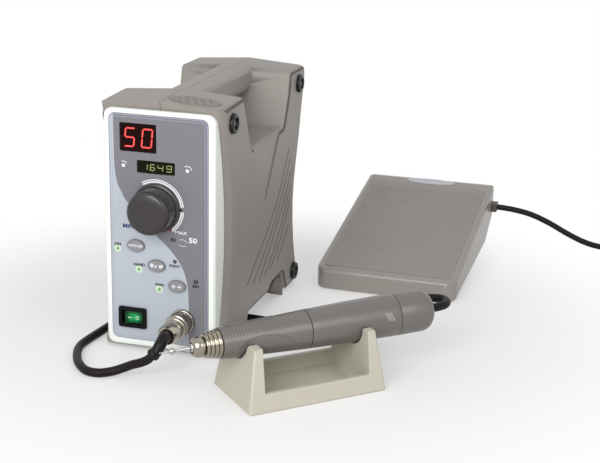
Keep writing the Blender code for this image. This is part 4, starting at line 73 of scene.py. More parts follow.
VIEW_PLACE = (0.3337, -0.8010, 0.3572)
VIEW_LENS = 81.01
SENSOR_WIDTH = 36
VIEW_YAW = math.radians(-16.38)
VIEW_PITCH = math.radians(17.17)
VIEW_ROLL = math.radians(1.23)
bpy.ops.object.camera_add()
camera = bpy.context.object
camera.data.lens = VIEW_LENS
camera.data.sensor_width = SENSOR_WIDTH
forward = Vector((
    math.sin(VIEW_YAW) * math.cos(VIEW_PITCH), math.cos(VIEW_YAW) * math.cos(VIEW_PITCH),
    -math.sin(VIEW_PITCH)))
across = Vector((math.cos(VIEW_YAW), -math.sin(VIEW_YAW), 0))
upward = across.cross(forward)
right = across * math.cos(VIEW_ROLL) + upward * math.sin(VIEW_ROLL)
over = upward * math.cos(VIEW_ROLL) - across * math.sin(VIEW_ROLL)
turn = Matrix((right, over, -forward)).transposed().to_4x4()
camera.matrix_world = Matrix.Translation(on_unit(*VIEW_PLACE)) @ turn
bpy.context.scene.camera = camera


# Studio: a pale table top that turns white away from the set, under three soft boxes and an even white room.
# Camera, mirror and clear rays see plain white, and the table keeps the soft shadows.

def set_up(node, **values):
    """Set a node's sockets, each named with underscores for its spaces."""
    for socket, value in values.items():
        node.inputs[socket.replace("_", " ")].default_value = value
    return node


def added(tree, kind, operation=None, **values):
    """Add a node to a tree, with its operation and the values of its sockets."""
    node = tree.nodes.new(kind)
    if operation:
        node.operation = operation
    return set_up(node, **values)


def linked(tree, *joints):
    """Join nodes: each joint names a node and its output, and a node and its input."""
    for source, output, target, socket in joints:
        tree.links.new(source.outputs[output], target.inputs[socket])


def started(name, **values):
    """Begin a material, with the values of its shader's sockets."""
    material = bpy.data.materials.new(name)
    material.use_nodes = True
    return material, material.node_tree, set_up(material.node_tree.nodes["Principled BSDF"], **values)


def looked_at(tree):
    """A node that gives 1 to camera, mirror and clear rays, and 0 to those that carry light."""
    path = added(tree, "ShaderNodeLightPath")
    mirrored = added(tree, "ShaderNodeMath", "MAXIMUM")
    seen = added(tree, "ShaderNodeMath", "MAXIMUM")
    linked(
        tree, (path, "Is Glossy Ray", mirrored, 0), (path, "Is Transmission Ray", mirrored, 1),
        (path, "Is Camera Ray", seen, 0), (mirrored, 0, seen, 1))
    return seen


def turned_white(tree, lit, white, mask, output):
    """Show the lit surface where the mask is 0, and the plain white one where it is 1."""
    mix = added(tree, "ShaderNodeMixShader")
    linked(tree, (mask, 0, mix, "Fac"), (lit, 0, mix, 1), (white, 0, mix, 2), (mix, 0, output, "Surface"))


WHITE = (1, 1, 1, 1)
ROOM_TINT = (0.98, 0.99, 1.0, 1)
ROOM_STRENGTH = 0.57
bpy.context.scene.view_settings.view_transform = "Standard"
room = bpy.data.worlds.new("white_room")
room.use_nodes = True
bpy.context.scene.world = room
tree = room.node_tree
room_light = set_up(tree.nodes["Background"], Color=ROOM_TINT, Strength=ROOM_STRENGTH)
plain_white = added(tree, "ShaderNodeBackground", Color=WHITE, Strength=1.0)
turned_white(tree, room_light, plain_white, looked_at(tree), tree.nodes["World Output"])

set_middle = on_unit(0.070, 0.080, 0.060)
for name, place, size, power in (
        ("key_box", (0.00, -1.05, 0.66), 0.70, 10.0), ("side_box", (0.85, -0.45, 0.60), 0.50, 2.2),
        ("top_box", (0.25, 0.45, 1.30), 0.90, 0.4)):
    bpy.ops.object.light_add(type="AREA", location=on_unit(*place))
    lamp = bpy.context.object
    lamp.name = name
    lamp.data.size = size
    lamp.data.energy = power
    lamp.rotation_euler = (set_middle - lamp.location).to_track_quat("-Z", "Y").to_euler()

TABLE_SIZE = 12
FADE_MIDDLE = (0.045, 0.075, 0.0)
FADE_START = 0.15
FADE_END = 0.34
FADE_LEAST = 0.38
bpy.ops.mesh.primitive_plane_add(size=TABLE_SIZE)
table = bpy.context.object
table.name = "table_top"
table_finish, tree, shader = started(
    "table_white", Base_Color=(0.82, 0.81, 0.80, 1), Roughness=0.65, Specular_IOR_Level=0.2)
place = added(tree, "ShaderNodeTexCoord")
centred = added(tree, "ShaderNodeMapping", Location=on_unit(*FADE_MIDDLE))
centred.vector_type = "TEXTURE"
distance = added(tree, "ShaderNodeVectorMath", "LENGTH")
fade = added(
    tree, "ShaderNodeMapRange", From_Min=FADE_START, From_Max=FADE_END, To_Min=FADE_LEAST, To_Max=1.0)
fade.interpolation_type = "SMOOTHSTEP"
watched = added(tree, "ShaderNodeMath", "MULTIPLY")
glow = added(tree, "ShaderNodeEmission", Color=WHITE, Strength=1.0)
linked(
    tree, (place, "Object", centred, "Vector"), (centred, "Vector", distance, 0),
    (distance, "Value", fade, "Value"), (fade, "Result", watched, 0), (looked_at(tree), 0, watched, 1))
turned_white(tree, shader, glow, watched, tree.nodes["Material Output"])
table.data.materials.append(table_finish)


# Motor cord: a limp black silicone lead, 6 mm thick. It leaves the plug's boot, lies on the bench round the
# unit's front corner, runs back through the arch under the unit, and curls up into the handpiece's rear cap.

CORD_RADIUS = 0.0030
CRADLE_YAW = math.radians(43.8)
AXIS_HEIGHT = 0.0402
WELD = 0.000004
cradle_middle = on_unit(0.1065, -0.0216, 0.0)
along = Vector((math.cos(CRADLE_YAW), math.sin(CRADLE_YAW), 0))
beside = Vector((-math.sin(CRADLE_YAW), math.cos(CRADLE_YAW), 0))


def by_cradle(s, v, z):
    """A point measured along the handpiece, across it, and up from the bench."""
    return cradle_middle + along * s + beside * v + Vector((0, 0, z))


def smooth_route(points, spacing, fine_steps=24):
    """Evenly spaced points on a smooth curve through a route's own points."""
    points = [Vector(point) for point in points]
    ends = [points[0] * 2 - points[1], *points, points[-1] * 2 - points[-2]]
    fine = []
    for index in range(1, len(ends) - 2):
        p0, p1, p2, p3 = ends[index - 1:index + 3]
        for step in range(fine_steps):
            t = step / fine_steps
            fine.append(0.5 * ((2 * p1) + (p2 - p0) * t + (2 * p0 - 5 * p1 + 4 * p2 - p3) * t * t
                               + (3 * p1 - p0 - 3 * p2 + p3) * t * t * t))
    fine.append(points[-1])
    total = length_of(fine)
    count = max(2, round(total / spacing))
    result = [fine[0]]
    travelled = 0.0
    for a, b in zip(fine, fine[1:]):
        step = (b - a).length
        while len(result) < count and travelled + step >= total * len(result) / count:
            result.append(a.lerp(b, (total * len(result) / count - travelled) / step))
        travelled += step
    result.append(fine[-1])
    return result


def length_of(points):
    return sum((b - a).length for a, b in zip(points, points[1:]))


def only(piece):
    """Select one object alone, and make it the active one."""
    bpy.ops.object.select_all(action="DESELECT")
    piece.select_set(True)
    bpy.context.view_layer.objects.active = piece
    return piece


def placed(name, data):
    """Put a mesh or curve into the scene as a new object, selected alone."""
    piece = bpy.data.objects.new(name, data)
    bpy.context.scene.collection.objects.link(piece)
    return only(piece)


def welded(melt=False):
    """Merge the doubled points of the active mesh, and melt the lines across its flats if asked."""
    bpy.ops.object.mode_set(mode="EDIT")
    bpy.ops.mesh.select_all(action="SELECT")
    bpy.ops.mesh.remove_doubles(threshold=WELD)
    if melt:
        bpy.ops.mesh.dissolve_limited(angle_limit=math.radians(0.5))
    bpy.ops.object.mode_set(mode="OBJECT")


def faced_out(smooth):
    """Turn the faces of the active mesh outwards, and shade it smooth up to an angle in degrees."""
    bpy.ops.object.mode_set(mode="EDIT")
    bpy.ops.mesh.select_all(action="SELECT")
    bpy.ops.mesh.normals_make_consistent(inside=False)
    bpy.ops.object.mode_set(mode="OBJECT")
    bpy.ops.object.shade_smooth_by_angle(angle=math.radians(smooth))


def tube(name, points, radius, resolution=6, radii=None):
    """A round mesh tube with closed ends along a list of points."""
    curve = bpy.data.curves.new(name, "CURVE")
    curve.dimensions = "3D"
    curve.bevel_depth = radius
    curve.bevel_resolution = resolution
    curve.use_fill_caps = True
    spline = curve.splines.new("POLY")
    spline.points.add(len(points) - 1)
    for index, point in enumerate(points):
        spline.points[index].co = (*point, 1)
        if radii:
            spline.points[index].radius = radii[index] / radius
    placed(name, curve)
    bpy.ops.object.convert(target="MESH")
    welded()
    faced_out(45)
    return bpy.context.object


def grain_group():
    """Fine moulded texture: a slow change of tone, a fine grain, and the relief that both give."""
    group = bpy.data.node_groups.new("moulded_grain", "ShaderNodeTree")
    for name, value in (("Grain", 1800.0), ("Mottle", 60.0), ("Relief", 0.1)):
        socket = group.interface.new_socket(name, in_out="INPUT", socket_type="NodeSocketFloat")
        socket.default_value = value
    for name, kind in (("Tone", "Float"), ("Speck", "Float"), ("Normal", "Vector")):
        group.interface.new_socket(name, in_out="OUTPUT", socket_type="NodeSocket" + kind)
    given = added(group, "NodeGroupInput")
    result = added(group, "NodeGroupOutput")
    place = added(group, "ShaderNodeTexCoord")
    mottle = added(group, "ShaderNodeTexNoise", Detail=3)
    grain = added(group, "ShaderNodeTexNoise", Detail=2)
    bump = added(group, "ShaderNodeBump", Distance=0.0002)
    linked(
        group, (place, "Object", mottle, "Vector"), (given, "Mottle", mottle, "Scale"),
        (place, "Object", grain, "Vector"), (given, "Grain", grain, "Scale"),
        (given, "Relief", bump, "Strength"), (grain, "Fac", bump, "Height"), (mottle, "Fac", result, "Tone"),
        (grain, "Fac", result, "Speck"), (bump, "Normal", result, "Normal"))
    return group


def two_tone(tree, colour, darker, lighter):
    """A mix of a darker and a lighter shade of one colour."""
    tone = added(tree, "ShaderNodeMix")
    tone.data_type = "RGBA"
    for socket, shade in ((6, darker), (7, lighter)):
        tone.inputs[socket].default_value = (*[min(c * shade, 1) for c in colour], 1)
    return tone


moulded_grain = grain_group()


def moulded(name, colour, roughness, spread=0.08, grain=1800, relief=0.10, mottle=60, coat=0.0, specular=0.5):
    """A moulded plastic or rubber: its colour varies a little, and its grain breaks up the gloss."""
    material, tree, shader = started(name, Coat_Weight=coat, Specular_IOR_Level=specular)
    texture = added(tree, "ShaderNodeGroup")
    texture.node_tree = moulded_grain
    set_up(texture, Grain=grain, Mottle=mottle, Relief=relief)
    tone = two_tone(tree, colour, 1 - spread, 1 + spread)
    speck = added(tree, "ShaderNodeMapRange", To_Min=roughness - 0.05, To_Max=roughness + 0.07)
    linked(
        tree, (texture, "Tone", tone, 0), (texture, "Speck", speck, "Value"), (tone, 2, shader, "Base Color"),
        (speck, "Result", shader, "Roughness"), (texture, "Normal", shader, "Normal"))
    return material


def fitted(piece, material, body, slot, *nodes):
    """Finish a piece: its material, the body that it rides on, and the solids that it stands for."""
    piece.data.materials.append(material)
    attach(piece, body)
    if nodes:
        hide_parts(*nodes)
    return piece


cord_rubber = moulded(
    "cord_rubber", (0.012, 0.009, 0.009), 0.42, spread=0.20, grain=900, relief=0.03, specular=0.12)
MOTOR_CORD_ROUTE = [
    on_unit(*point) for point in (
        (0.01183, -0.04346, 0.01721), (0.0095, -0.04402, 0.01467), (0.0042, -0.0443, 0.0118),
        (-0.0015, -0.0440, 0.0096), (-0.0070, -0.0444, 0.0070), (-0.0122, -0.0454, 0.0048),
        (-0.0170, -0.0470, 0.0035), (-0.0235, -0.0502, 0.0031), (-0.0330, -0.0488, 0.0031),
        (-0.0435, -0.0380, 0.0031), (-0.0512, -0.0239, 0.0031), (-0.0550, -0.0113, 0.0031),
        (-0.0550, 0.0005, 0.0031), (-0.0535, 0.0154, 0.0031), (-0.0520, 0.0300, 0.0031),
        (-0.0512, 0.0440, 0.0031), (-0.0495, 0.0570, 0.0031), (-0.0430, 0.0690, 0.0031),
        (-0.0300, 0.0765, 0.0031), (-0.0100, 0.0795, 0.0031), (0.0150, 0.0800, 0.0031),
        (0.0460, 0.0790, 0.0031), (0.0760, 0.0750, 0.0031), (0.1020, 0.0670, 0.0034),
        (0.1240, 0.0570, 0.0070))
] + [
    by_cradle(*point) for point in (
        (0.0840, 0.0360, 0.0190), (0.0925, 0.0310, 0.0272), (0.1005, 0.0262, 0.0340),
        (0.1085, 0.0215, 0.0383), (0.1145, 0.0152, 0.0398), (0.1160, 0.0080, AXIS_HEIGHT),
        (0.1122, 0.0024, AXIS_HEIGHT), (0.1050, 0.0000, AXIS_HEIGHT), (0.0968, 0.0, AXIS_HEIGHT))
]
motor_cord_line = smooth_route(MOTOR_CORD_ROUTE, CORD_RADIUS)
motor_cord = tube("motor_cord_lead", motor_cord_line, CORD_RADIUS)
motor_cord.data.materials.append(cord_rubber)
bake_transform(motor_cord)
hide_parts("motor_cord")

boot_rubber = moulded(
    "boot_rubber", (0.010, 0.008, 0.008), 0.34, spread=0.20, grain=900, relief=0.04, specular=0.15)
BOOT_RADIUS = 0.0040
BOOT_NECK = 0.00388
BOOT_COLLAR = 0.0044
BOOT_END = 0.0040
BOOT_SPACING = 0.0006
SOCKET_X = 0.0169
SOCKET_Z = 0.0268
boot_line = smooth_route([
    on_unit(*point) for point in (
        (SOCKET_X, -0.0309, SOCKET_Z), (SOCKET_X, -0.0355, SOCKET_Z), (0.0168, -0.0398, 0.0248),
        (0.0151, -0.04267, 0.02077), (0.0121, -0.0434, 0.0175))], BOOT_SPACING)
boot_tail = [BOOT_NECK] + [BOOT_COLLAR] * 4 + [BOOT_END]
boot_radii = [BOOT_RADIUS] * (len(boot_line) - len(boot_tail)) + boot_tail
boot = tube("plug_boot_sleeve", boot_line, BOOT_RADIUS, 8, boot_radii)
fitted(boot, boot_rubber, "unit", "cord_rubber", "plug_boot")


# Pedal cord: a 5 mm black lead from the grommet in the pedal's side, out of the picture to the right.
# Its unseen length lies just outside the view as a neat two-layer coil that ends in its round plug.

PEDAL_CORD_RADIUS = 0.0025
COIL_X = 0.3220
COIL_Y = 0.3110
COIL_OUTER = 0.0375
COIL_PITCH = 0.0056
COIL_TURNS_IN = 3.25
COIL_TURNS_OUT = 3.50
COIL_TAIL = 0.0300
COIL_STEPS = 24
LEAD_SPACING = 0.0060
LIFT = 0.0001
GAP = 0.0003
PLUG_RADIUS = 0.0062
PEDAL_CORD_Y = 0.3360
PEDAL_CORD_Z = 0.0330
GRIP_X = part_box("pedal_cover")[1].x - seam_x + GAP
PEDAL_CORD_ROUTE = [
    on_unit(*point) for point in (
        (GRIP_X, PEDAL_CORD_Y, PEDAL_CORD_Z), (0.1920, 0.3362, 0.0321), (0.2080, 0.3370, 0.0290),
        (0.2240, 0.3385, 0.0225), (0.2400, 0.3405, 0.0140), (0.2560, 0.3430, 0.0068),
        (0.2720, 0.3455, 0.0032), (0.2900, 0.3475, 0.0026), (0.3060, 0.3485, 0.0026),
        (COIL_X - PEDAL_CORD_RADIUS * 2 - GAP, 0.3485, 0.0026))
]
half_turn = COIL_STEPS // 2
steps_in = round(COIL_TURNS_IN * COIL_STEPS)
steps_out = round(COIL_TURNS_OUT * COIL_STEPS)
turns = []
radius = COIL_OUTER
for step in range(steps_in + half_turn + steps_out + 1):
    angle = math.pi / 2 - math.tau * step / COIL_STEPS
    climb = min(max((step - steps_in) / half_turn, 0), 1)
    height = PEDAL_CORD_RADIUS + LIFT + COIL_PITCH * climb * climb * (3 - 2 * climb)
    turns.append(on_unit(COIL_X + radius * math.cos(angle), COIL_Y + radius * math.sin(angle), height))
    radius += COIL_PITCH / COIL_STEPS * (1 if step >= steps_in + half_turn / 2 else -1)
heading = Vector((math.sin(angle), -math.cos(angle), 0))
last = turns[-1]
drop = PLUG_RADIUS + LIFT - last.z
turns += [
    last + heading * COIL_TAIL * share + Vector((0, 0, drop * share * share))
    for share in (0.25, 0.5, 0.75, 1)]
pedal_cord_line = smooth_route(PEDAL_CORD_ROUTE, LEAD_SPACING) + turns
pedal_cord = tube("pedal_cord_lead", pedal_cord_line, PEDAL_CORD_RADIUS, 4)
pedal_cord.data.materials.append(cord_rubber)
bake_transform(pedal_cord)
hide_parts("pedal_cord", "pedal_cord_coil")


def softened(piece, width, segments, angle):
    """Round the edges of the active piece that are sharper than an angle in degrees."""
    edges = piece.modifiers.new("soft_edges", "BEVEL")
    edges.width = width
    edges.segments = segments
    edges.limit_method = "ANGLE"
    edges.angle_limit = math.radians(angle)
    bpy.ops.object.modifier_apply(modifier=edges.name)


def reworked(node, name, material, body, slot, smooth=40, bevel=0.0):
    """Put a finer copy in a solid's place: welded, its edges softened if asked, its rounds shaded smooth."""
    piece = placed(name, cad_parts[node].data.copy())
    piece.data.materials.clear()
    welded(melt=True)
    if bevel:
        softened(piece, bevel, 2, smooth)
    bpy.ops.object.shade_smooth_by_angle(angle=math.radians(smooth))
    flats = piece.modifiers.new("flats", "WEIGHTED_NORMAL")
    flats.keep_sharp = True
    bpy.ops.object.modifier_apply(modifier=flats.name)
    return fitted(piece, material, body, slot, node)


plug_black = moulded("plug_black", (0.018, 0.018, 0.019), 0.36, spread=0.15, grain=1500, relief=0.05)
pedal_plug = reworked("pedal_plug", "cord_end_plug", plug_black, "unit", "black_plastic", bevel=0.00015)


# Shells: two halves moulded in warm grey plastic with a fine matt grain, closed along the middle seam.
# Each is the solid's own form, welded and shaded smooth, with painted shade in its slanted grooves: their
# faces are coloured a darker grey.

shell_plastic = moulded("shell_plastic", (0.262, 0.238, 0.216), 0.48, spread=0.05, grain=2200)
# Painted shade: a darker grey for the faces inside the slanted grooves, standing in for the shadow in them.
groove_painted_shade = moulded("groove_painted_shade", (0.085, 0.075, 0.068), 0.60, grain=2200)
WALL_X = 0.0440
GROOVE_LIP = 0.0001
GROOVE_DEEP = 0.0009
GROOVE_STEEP = 0.2
GROOVE_FLAT = 0.95
for side in ("left", "right"):
    shell = reworked("shell_" + side, "moulded_shell_" + side, shell_plastic, "unit", "shell_grey")
    # Faces within the grooves' depth that slant across the wall get the painted groove shade.
    shell.data.materials.append(groove_painted_shade)
    for face in shell.data.polygons:
        depth = WALL_X - abs(face.center.x - seam_x)
        if GROOVE_LIP < depth < GROOVE_DEEP and GROOVE_STEEP < abs(face.normal.x) < GROOVE_FLAT:
            face.material_index = 1


# Bumpers: six round rubber buffers pressed into the side walls, so that the unit can also lie on its side.
# Each has a raised rim round a dished middle, with the head of its fixing pin in it.

def ringed(name, rings, segments=64, through=False):
    """Model a round piece by hand: a disc is added, then extruded and scaled from ring to ring."""
    radius, height = rings[0]
    bpy.ops.object.select_all(action="DESELECT")
    bpy.ops.mesh.primitive_circle_add(
        vertices=segments, radius=radius, fill_type="NGON", location=(0, 0, height))
    piece = bpy.context.object
    piece.name = name
    piece.data.name = name
    bpy.ops.object.transform_apply(location=True)
    bpy.ops.object.mode_set(mode="EDIT")
    bpy.ops.mesh.select_all(action="SELECT")
    for next_radius, next_height in rings[1:]:
        bpy.ops.mesh.extrude_region_move(TRANSFORM_OT_translate={"value": (0, 0, next_height - height)})
        scale = next_radius / radius
        bpy.ops.transform.resize(value=(scale, scale, 1))
        radius = next_radius
        height = next_height
    bpy.ops.object.mode_set(mode="OBJECT")
    if through:
        shape = bmesh.new()
        shape.from_mesh(piece.data)
        ends = [face for face in shape.faces if len(face.verts) > 4]
        bmesh.ops.delete(shape, geom=ends, context="FACES_ONLY")
        bmesh.ops.remove_doubles(shape, verts=shape.verts, dist=WELD)
        shape.to_mesh(piece.data)
        shape.free()
    faced_out(32)
    return piece


def arc(x, y, radius, start, end, steps=4):
    """Points on an arc round a centre, from one angle to another in degrees."""
    angles = [math.radians(start + (end - start) * step / steps) for step in range(steps + 1)]
    return [(x + radius * math.cos(angle), y + radius * math.sin(angle)) for angle in angles]


def laid(piece, point, direction):
    """Lay a piece that was made upright at the origin along a direction, from a point."""
    turn = Vector(direction).to_track_quat("Z", "Y").to_matrix().to_4x4()
    piece.data.transform(Matrix.Translation(point) @ turn)
    return piece


bumper_rubber = moulded(
    "bumper_rubber", (0.006, 0.006, 0.006), 0.30, spread=0.25, grain=1500, relief=0.05, specular=0.35)
BUMPER_RADIUS = 0.0068
BUMPER_PROUD = 0.0028
BUMPER_DISH = 0.0042
BUMPER_BROW = 0.0012
BUMPER_LIP = 0.0006
BUMPER_SEATED = 0.0009
bumper_model = ringed("bumper_model", [
    (BUMPER_RADIUS, -BUMPER_SEATED), (BUMPER_RADIUS, BUMPER_PROUD - BUMPER_BROW),
    *arc(BUMPER_RADIUS - BUMPER_BROW, BUMPER_PROUD - BUMPER_BROW, BUMPER_BROW, 0, 90),
    *arc(BUMPER_DISH + BUMPER_LIP, BUMPER_PROUD - BUMPER_LIP, BUMPER_LIP, 90, 180),
    (BUMPER_DISH - 0.0002, BUMPER_PROUD - 0.0016), (0.0021, BUMPER_PROUD - 0.0016),
    (0.0019, BUMPER_PROUD - 0.0010), (0.0010, BUMPER_PROUD - 0.0008), (0.0002, BUMPER_PROUD - 0.0008)], 40)
for side_name, side in (("left", -1), ("right", 1)):
    for place, y, z in (
            ("front", 0.0220, 0.1615), ("rear_top", 0.1725, 0.1615), ("rear_low", 0.1665, 0.0130)):
        bumper = placed("rubber_bumper_%s_%s" % (place, side_name), bumper_model.data.copy())
        laid(bumper, on_unit(side * WALL_X, y, z), (side, 0, 0))
        fitted(bumper, bumper_rubber, "unit", "black_rubber", "bumper_%s_%s" % (place, side_name))
bpy.data.objects.remove(bumper_model)


# Bezel: a satin white moulding let into the front of the shells, bowed in side view where the two meet.
# The label plate is glued in its shallow recess, and every control comes through them both.

bezel_plastic = moulded("bezel_plastic", (0.82, 0.85, 0.81), 0.34, spread=0.02, grain=2600, relief=0.03)
reworked("bezel", "white_bezel", bezel_plastic, "unit", "bezel_white")


# Label: a printed film. Its grey-violet field meets the pale blue one along an S-shaped line, and thin
# borders, the speed scale, the marks and the words are printed over both. Soft green discs of painted light
# lie round the lit lamps.

def printed(name, colour, roughness=0.42):
    """Satin printing ink."""
    return moulded(name, colour, roughness, spread=0.02, grain=3000, relief=0.02, mottle=30)


def glowing(material, colour, strength):
    """Let a finished material also shine in a colour."""
    shader = material.node_tree.nodes["Principled BSDF"]
    set_up(shader, Emission_Color=(*colour, 1), Emission_Strength=strength)
    return material


def dressed(material, *nodes):
    """Give solids whose own shape is right a finish of their own."""
    for node in nodes:
        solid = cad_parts[node]
        solid.data.materials.clear()
        solid.data.materials.append(material)


LABEL_FACE_Y = -0.0003
INK = 0.00004
UPRIGHT = Matrix.Rotation(math.pi / 2, 4, "X")


def flat_mesh(name, outlines, thickness):
    """Fill closed outlines, and make them a plate of a thickness that lies flat at the origin."""
    curve = bpy.data.curves.new(name, "CURVE")
    curve.dimensions = "2D"
    curve.fill_mode = "BOTH"
    curve.extrude = thickness / 2
    for outline in outlines:
        spline = curve.splines.new("POLY")
        spline.points.add(len(outline) - 1)
        for point, (x, y) in zip(spline.points, outline):
            point.co = (x, y, 0, 1)
        spline.use_cyclic_u = True
    placed(name, curve)
    bpy.ops.object.convert(target="MESH")
    return bpy.context.object


def on_label(piece, layer):
    """Stand a flat mesh upright on the label's face, in one of its layers of ink."""
    piece.data.transform(Matrix.Translation(on_unit(0, LABEL_FACE_Y - INK * layer, 0)) @ UPRIGHT)
    return piece


def flat_print(name, outlines, layer=1):
    """A printed area, from closed outlines in the label's own X and Z."""
    return on_label(flat_mesh(name, outlines, INK), layer)


CAPITAL_SHARE = 0.70


def word(text, x, z, height, weight, width=1.10):
    """A printed word centred on a point of the label, with capitals of a height."""
    bpy.ops.object.select_all(action="DESELECT")
    bpy.ops.object.text_add(location=(x, z, 0))
    letters = bpy.context.object
    letters.data.body = text
    letters.data.size = height / CAPITAL_SHARE
    letters.data.align_x = "CENTER"
    letters.data.align_y = "CENTER"
    letters.data.extrude = INK / 2
    letters.data.offset = weight
    letters.data.resolution_u = 4
    letters.scale.x = width
    bpy.ops.object.convert(target="MESH")
    bpy.ops.object.transform_apply()
    return on_label(bpy.context.object, 2)


def merged(name, pieces, material, body="unit", slot="label_print"):
    """Join like pieces into one, and fasten it to its body."""
    only(pieces[0])
    for piece in pieces[1:]:
        piece.select_set(True)
    if len(pieces) > 1:
        bpy.ops.object.join()
    piece = bpy.context.object
    piece.name = name
    piece.data.name = name
    piece.data.materials.clear()
    return fitted(piece, material, body, slot)


def oval(x, z, half_x, half_z, steps=48):
    angles = [math.tau * step / steps for step in range(steps)]
    return [(x + half_x * math.cos(angle), z + half_z * math.sin(angle)) for angle in angles]


def disc(x, z, radius):
    return oval(x, z, radius, radius, 24)


def arc_band(x, z, radius, width, start, end, steps):
    """A band along an arc, from one angle to another in degrees."""
    return arc(x, z, radius, start, end, steps) + arc(x, z, radius - width, end, start, steps)


def rounded_box(low_x, low_z, high_x, high_z, radius, steps=5):
    """The outline of a rectangle with round corners."""
    return (
        arc(high_x - radius, high_z - radius, radius, 0, 90, steps)
        + arc(low_x + radius, high_z - radius, radius, 90, 180, steps)
        + arc(low_x + radius, low_z + radius, radius, 180, 270, steps)
        + arc(high_x - radius, low_z + radius, radius, 270, 360, steps))


label_grey = printed("label_grey", (0.168, 0.166, 0.186))
label_pale = printed("label_pale", (0.415, 0.450, 0.500))
dressed(label_grey, "label_plate")
LABEL_HALF = 0.0350
LABEL_LOW = 0.0092
LABEL_TOP = 0.1672
BORDER = 0.0006
CORNER = 0.0032
SWITCH_X = -0.0196
SWITCH_Z = 0.0252
SWITCH_HALF_X = 0.0088
SWITCH_HALF_Z = 0.0064
SWITCH_CORNER = 0.0005
FIELD_LINE = (
    (-0.0317, 0.1668), (-0.0316, 0.1418), (-0.0311, 0.1281), (-0.0292, 0.1186), (-0.0264, 0.1134),
    (-0.0229, 0.1075), (-0.0022, 0.0859), (0.0042, 0.0803), (0.0114, 0.0726), (0.0163, 0.0654),
    (0.0192, 0.0579), (0.0206, 0.0496), (0.0212, 0.0353), (0.0211, 0.0098))
FIELD_SPACING = 0.0015
FIELD_CORNER = 0.0030
field_line = smooth_route([(x, z, 0) for x, z in FIELD_LINE], FIELD_SPACING)
field_edge = [tuple(point[:2]) for point in reversed(field_line)]
pale_outline = field_edge + [
    (-LABEL_HALF + FIELD_CORNER, LABEL_TOP - BORDER), (-LABEL_HALF + BORDER, LABEL_TOP - CORNER),
    (-LABEL_HALF + BORDER, LABEL_LOW + CORNER), (-LABEL_HALF + CORNER, LABEL_LOW + BORDER),
    (field_edge[0][0], LABEL_LOW + BORDER)]
switch_hole = rounded_box(
    SWITCH_X - SWITCH_HALF_X, SWITCH_Z - SWITCH_HALF_Z, SWITCH_X + SWITCH_HALF_X, SWITCH_Z + SWITCH_HALF_Z,
    SWITCH_CORNER)
merged("label_pale_field", [flat_print("pale_field", [pale_outline, switch_hole])], label_pale)
border_lines = [
    rounded_box(-LABEL_HALF + inset, LABEL_LOW + inset, LABEL_HALF - inset, LABEL_TOP - inset, corner)
    for inset, corner in ((0.0002, 0.0040), (0.0007, 0.0035), (0.0019, 0.0024), (0.0022, 0.0021))]
merged("label_border_lines", [flat_print("border", border_lines, 2)], printed("ink_line", (0.34, 0.36, 0.46)))

KNOB_X = -0.0015
KNOB_Z = 0.1050
scale_arcs = [
    arc_band(KNOB_X, KNOB_Z, radius, width, *sweep) for sweep in ((6, 122, 48), (-54, -4, 24))
    for radius, width in ((0.0196, 0.0007), (0.0184, 0.0011))]
dial_signs = [disc(-0.0249, 0.1321, 0.0012), disc(0.0206, 0.1323, 0.0012)] + [arc_band(*sign) for sign in (
    (-0.0249, 0.1321, 0.0031, 0.0005, 35, 115, 12), (0.0206, 0.1323, 0.0034, 0.0005, 10, 125, 14),
    (0.0166, 0.0800, 0.0048, 0.0003, 40, 115, 10), (0.0170, 0.0850, 0.0050, 0.0003, 235, 300, 10))]
white_words = [
    word("MAX", 0.0158, 0.0892, 0.0022, 0.00004, 1.25), word("50", 0.0243, 0.0846, 0.0034, 0.00012, 1.25)]
white_marks = flat_print("white_marks", scale_arcs + dial_signs, 2)
merged("label_white_print", [white_marks, *white_words], printed("ink_white", (0.80, 0.80, 0.82)))
dark_words = [
    word(text, x, z, height, 0.00014) for text, x, z, height in (
        ("ON", -0.0300, 0.0766, 0.0019), ("HAND", -0.0146, 0.0636, 0.0018), ("FOOT", 0.0112, 0.0653, 0.0018),
        ("FWD", 0.0002, 0.0508, 0.0018), ("REV", 0.0262, 0.0526, 0.0018))]
dark_words.append(word("40", 0.0100, 0.0838, 0.0025, 0.00012, 1.15))
dark_marks = flat_print("dark_marks", [
    disc(0.0157, 0.1050, 0.0010), disc(0.0113, 0.0687, 0.0014), disc(0.0263, 0.0560, 0.0014)], 2)
merged("label_dark_print", [dark_marks, *dark_words], printed("ink_dark", (0.012, 0.012, 0.016)))
least_word = word("MIN", -0.0222, 0.0900, 0.0027, 0.00016, 1.15)
merged("label_navy_print", [least_word], printed("ink_navy", (0.030, 0.033, 0.17)))
red_mark = flat_print("red_mark", [disc(0.0081, 0.0909, 0.0013)], 2)
merged("label_red_mark", [red_mark], printed("ink_red", (0.30, 0.02, 0.03)))
# Painted light: pale green glowing discs round the three lit lamps stand in for the lamps' light falling on
# the label.
HALO_GREEN = (0.50, 0.64, 0.45)
HALO_RADIUS = 0.0026
lamp_halos = flat_print("lamp_halos", [
    disc(x, z, HALO_RADIUS) for x, z in ((-0.0301, 0.0736), (-0.0149, 0.0603), (-0.0001, 0.0477))], 2)
merged("label_lamp_halos", [lamp_halos], glowing(printed("lamp_halo_painted_glow", HALO_GREEN), HALO_GREEN, 0.10))


# Displays: red seven-segment figures behind a dark red window, and small yellow-green ones below it.
# The window is the solid itself in tinted glass; the lit strokes lie just in front of it.

def window_glass(name, tint, cloud):
    """Dark tinted acrylic with a faint cloud of its own light behind it."""
    glass = moulded(name, tint, 0.20, spread=0.25, grain=1200, relief=0.01, mottle=140, specular=0.08)
    return glowing(glass, cloud, 0.008)


def lit(name, colour, strength):
    """A lit figure or lamp: its colour glows evenly, a little brighter in its middle."""
    lens = moulded(name, colour, 0.35, spread=0.10, grain=900, relief=0.0, mottle=500)
    return glowing(lens, colour, strength)


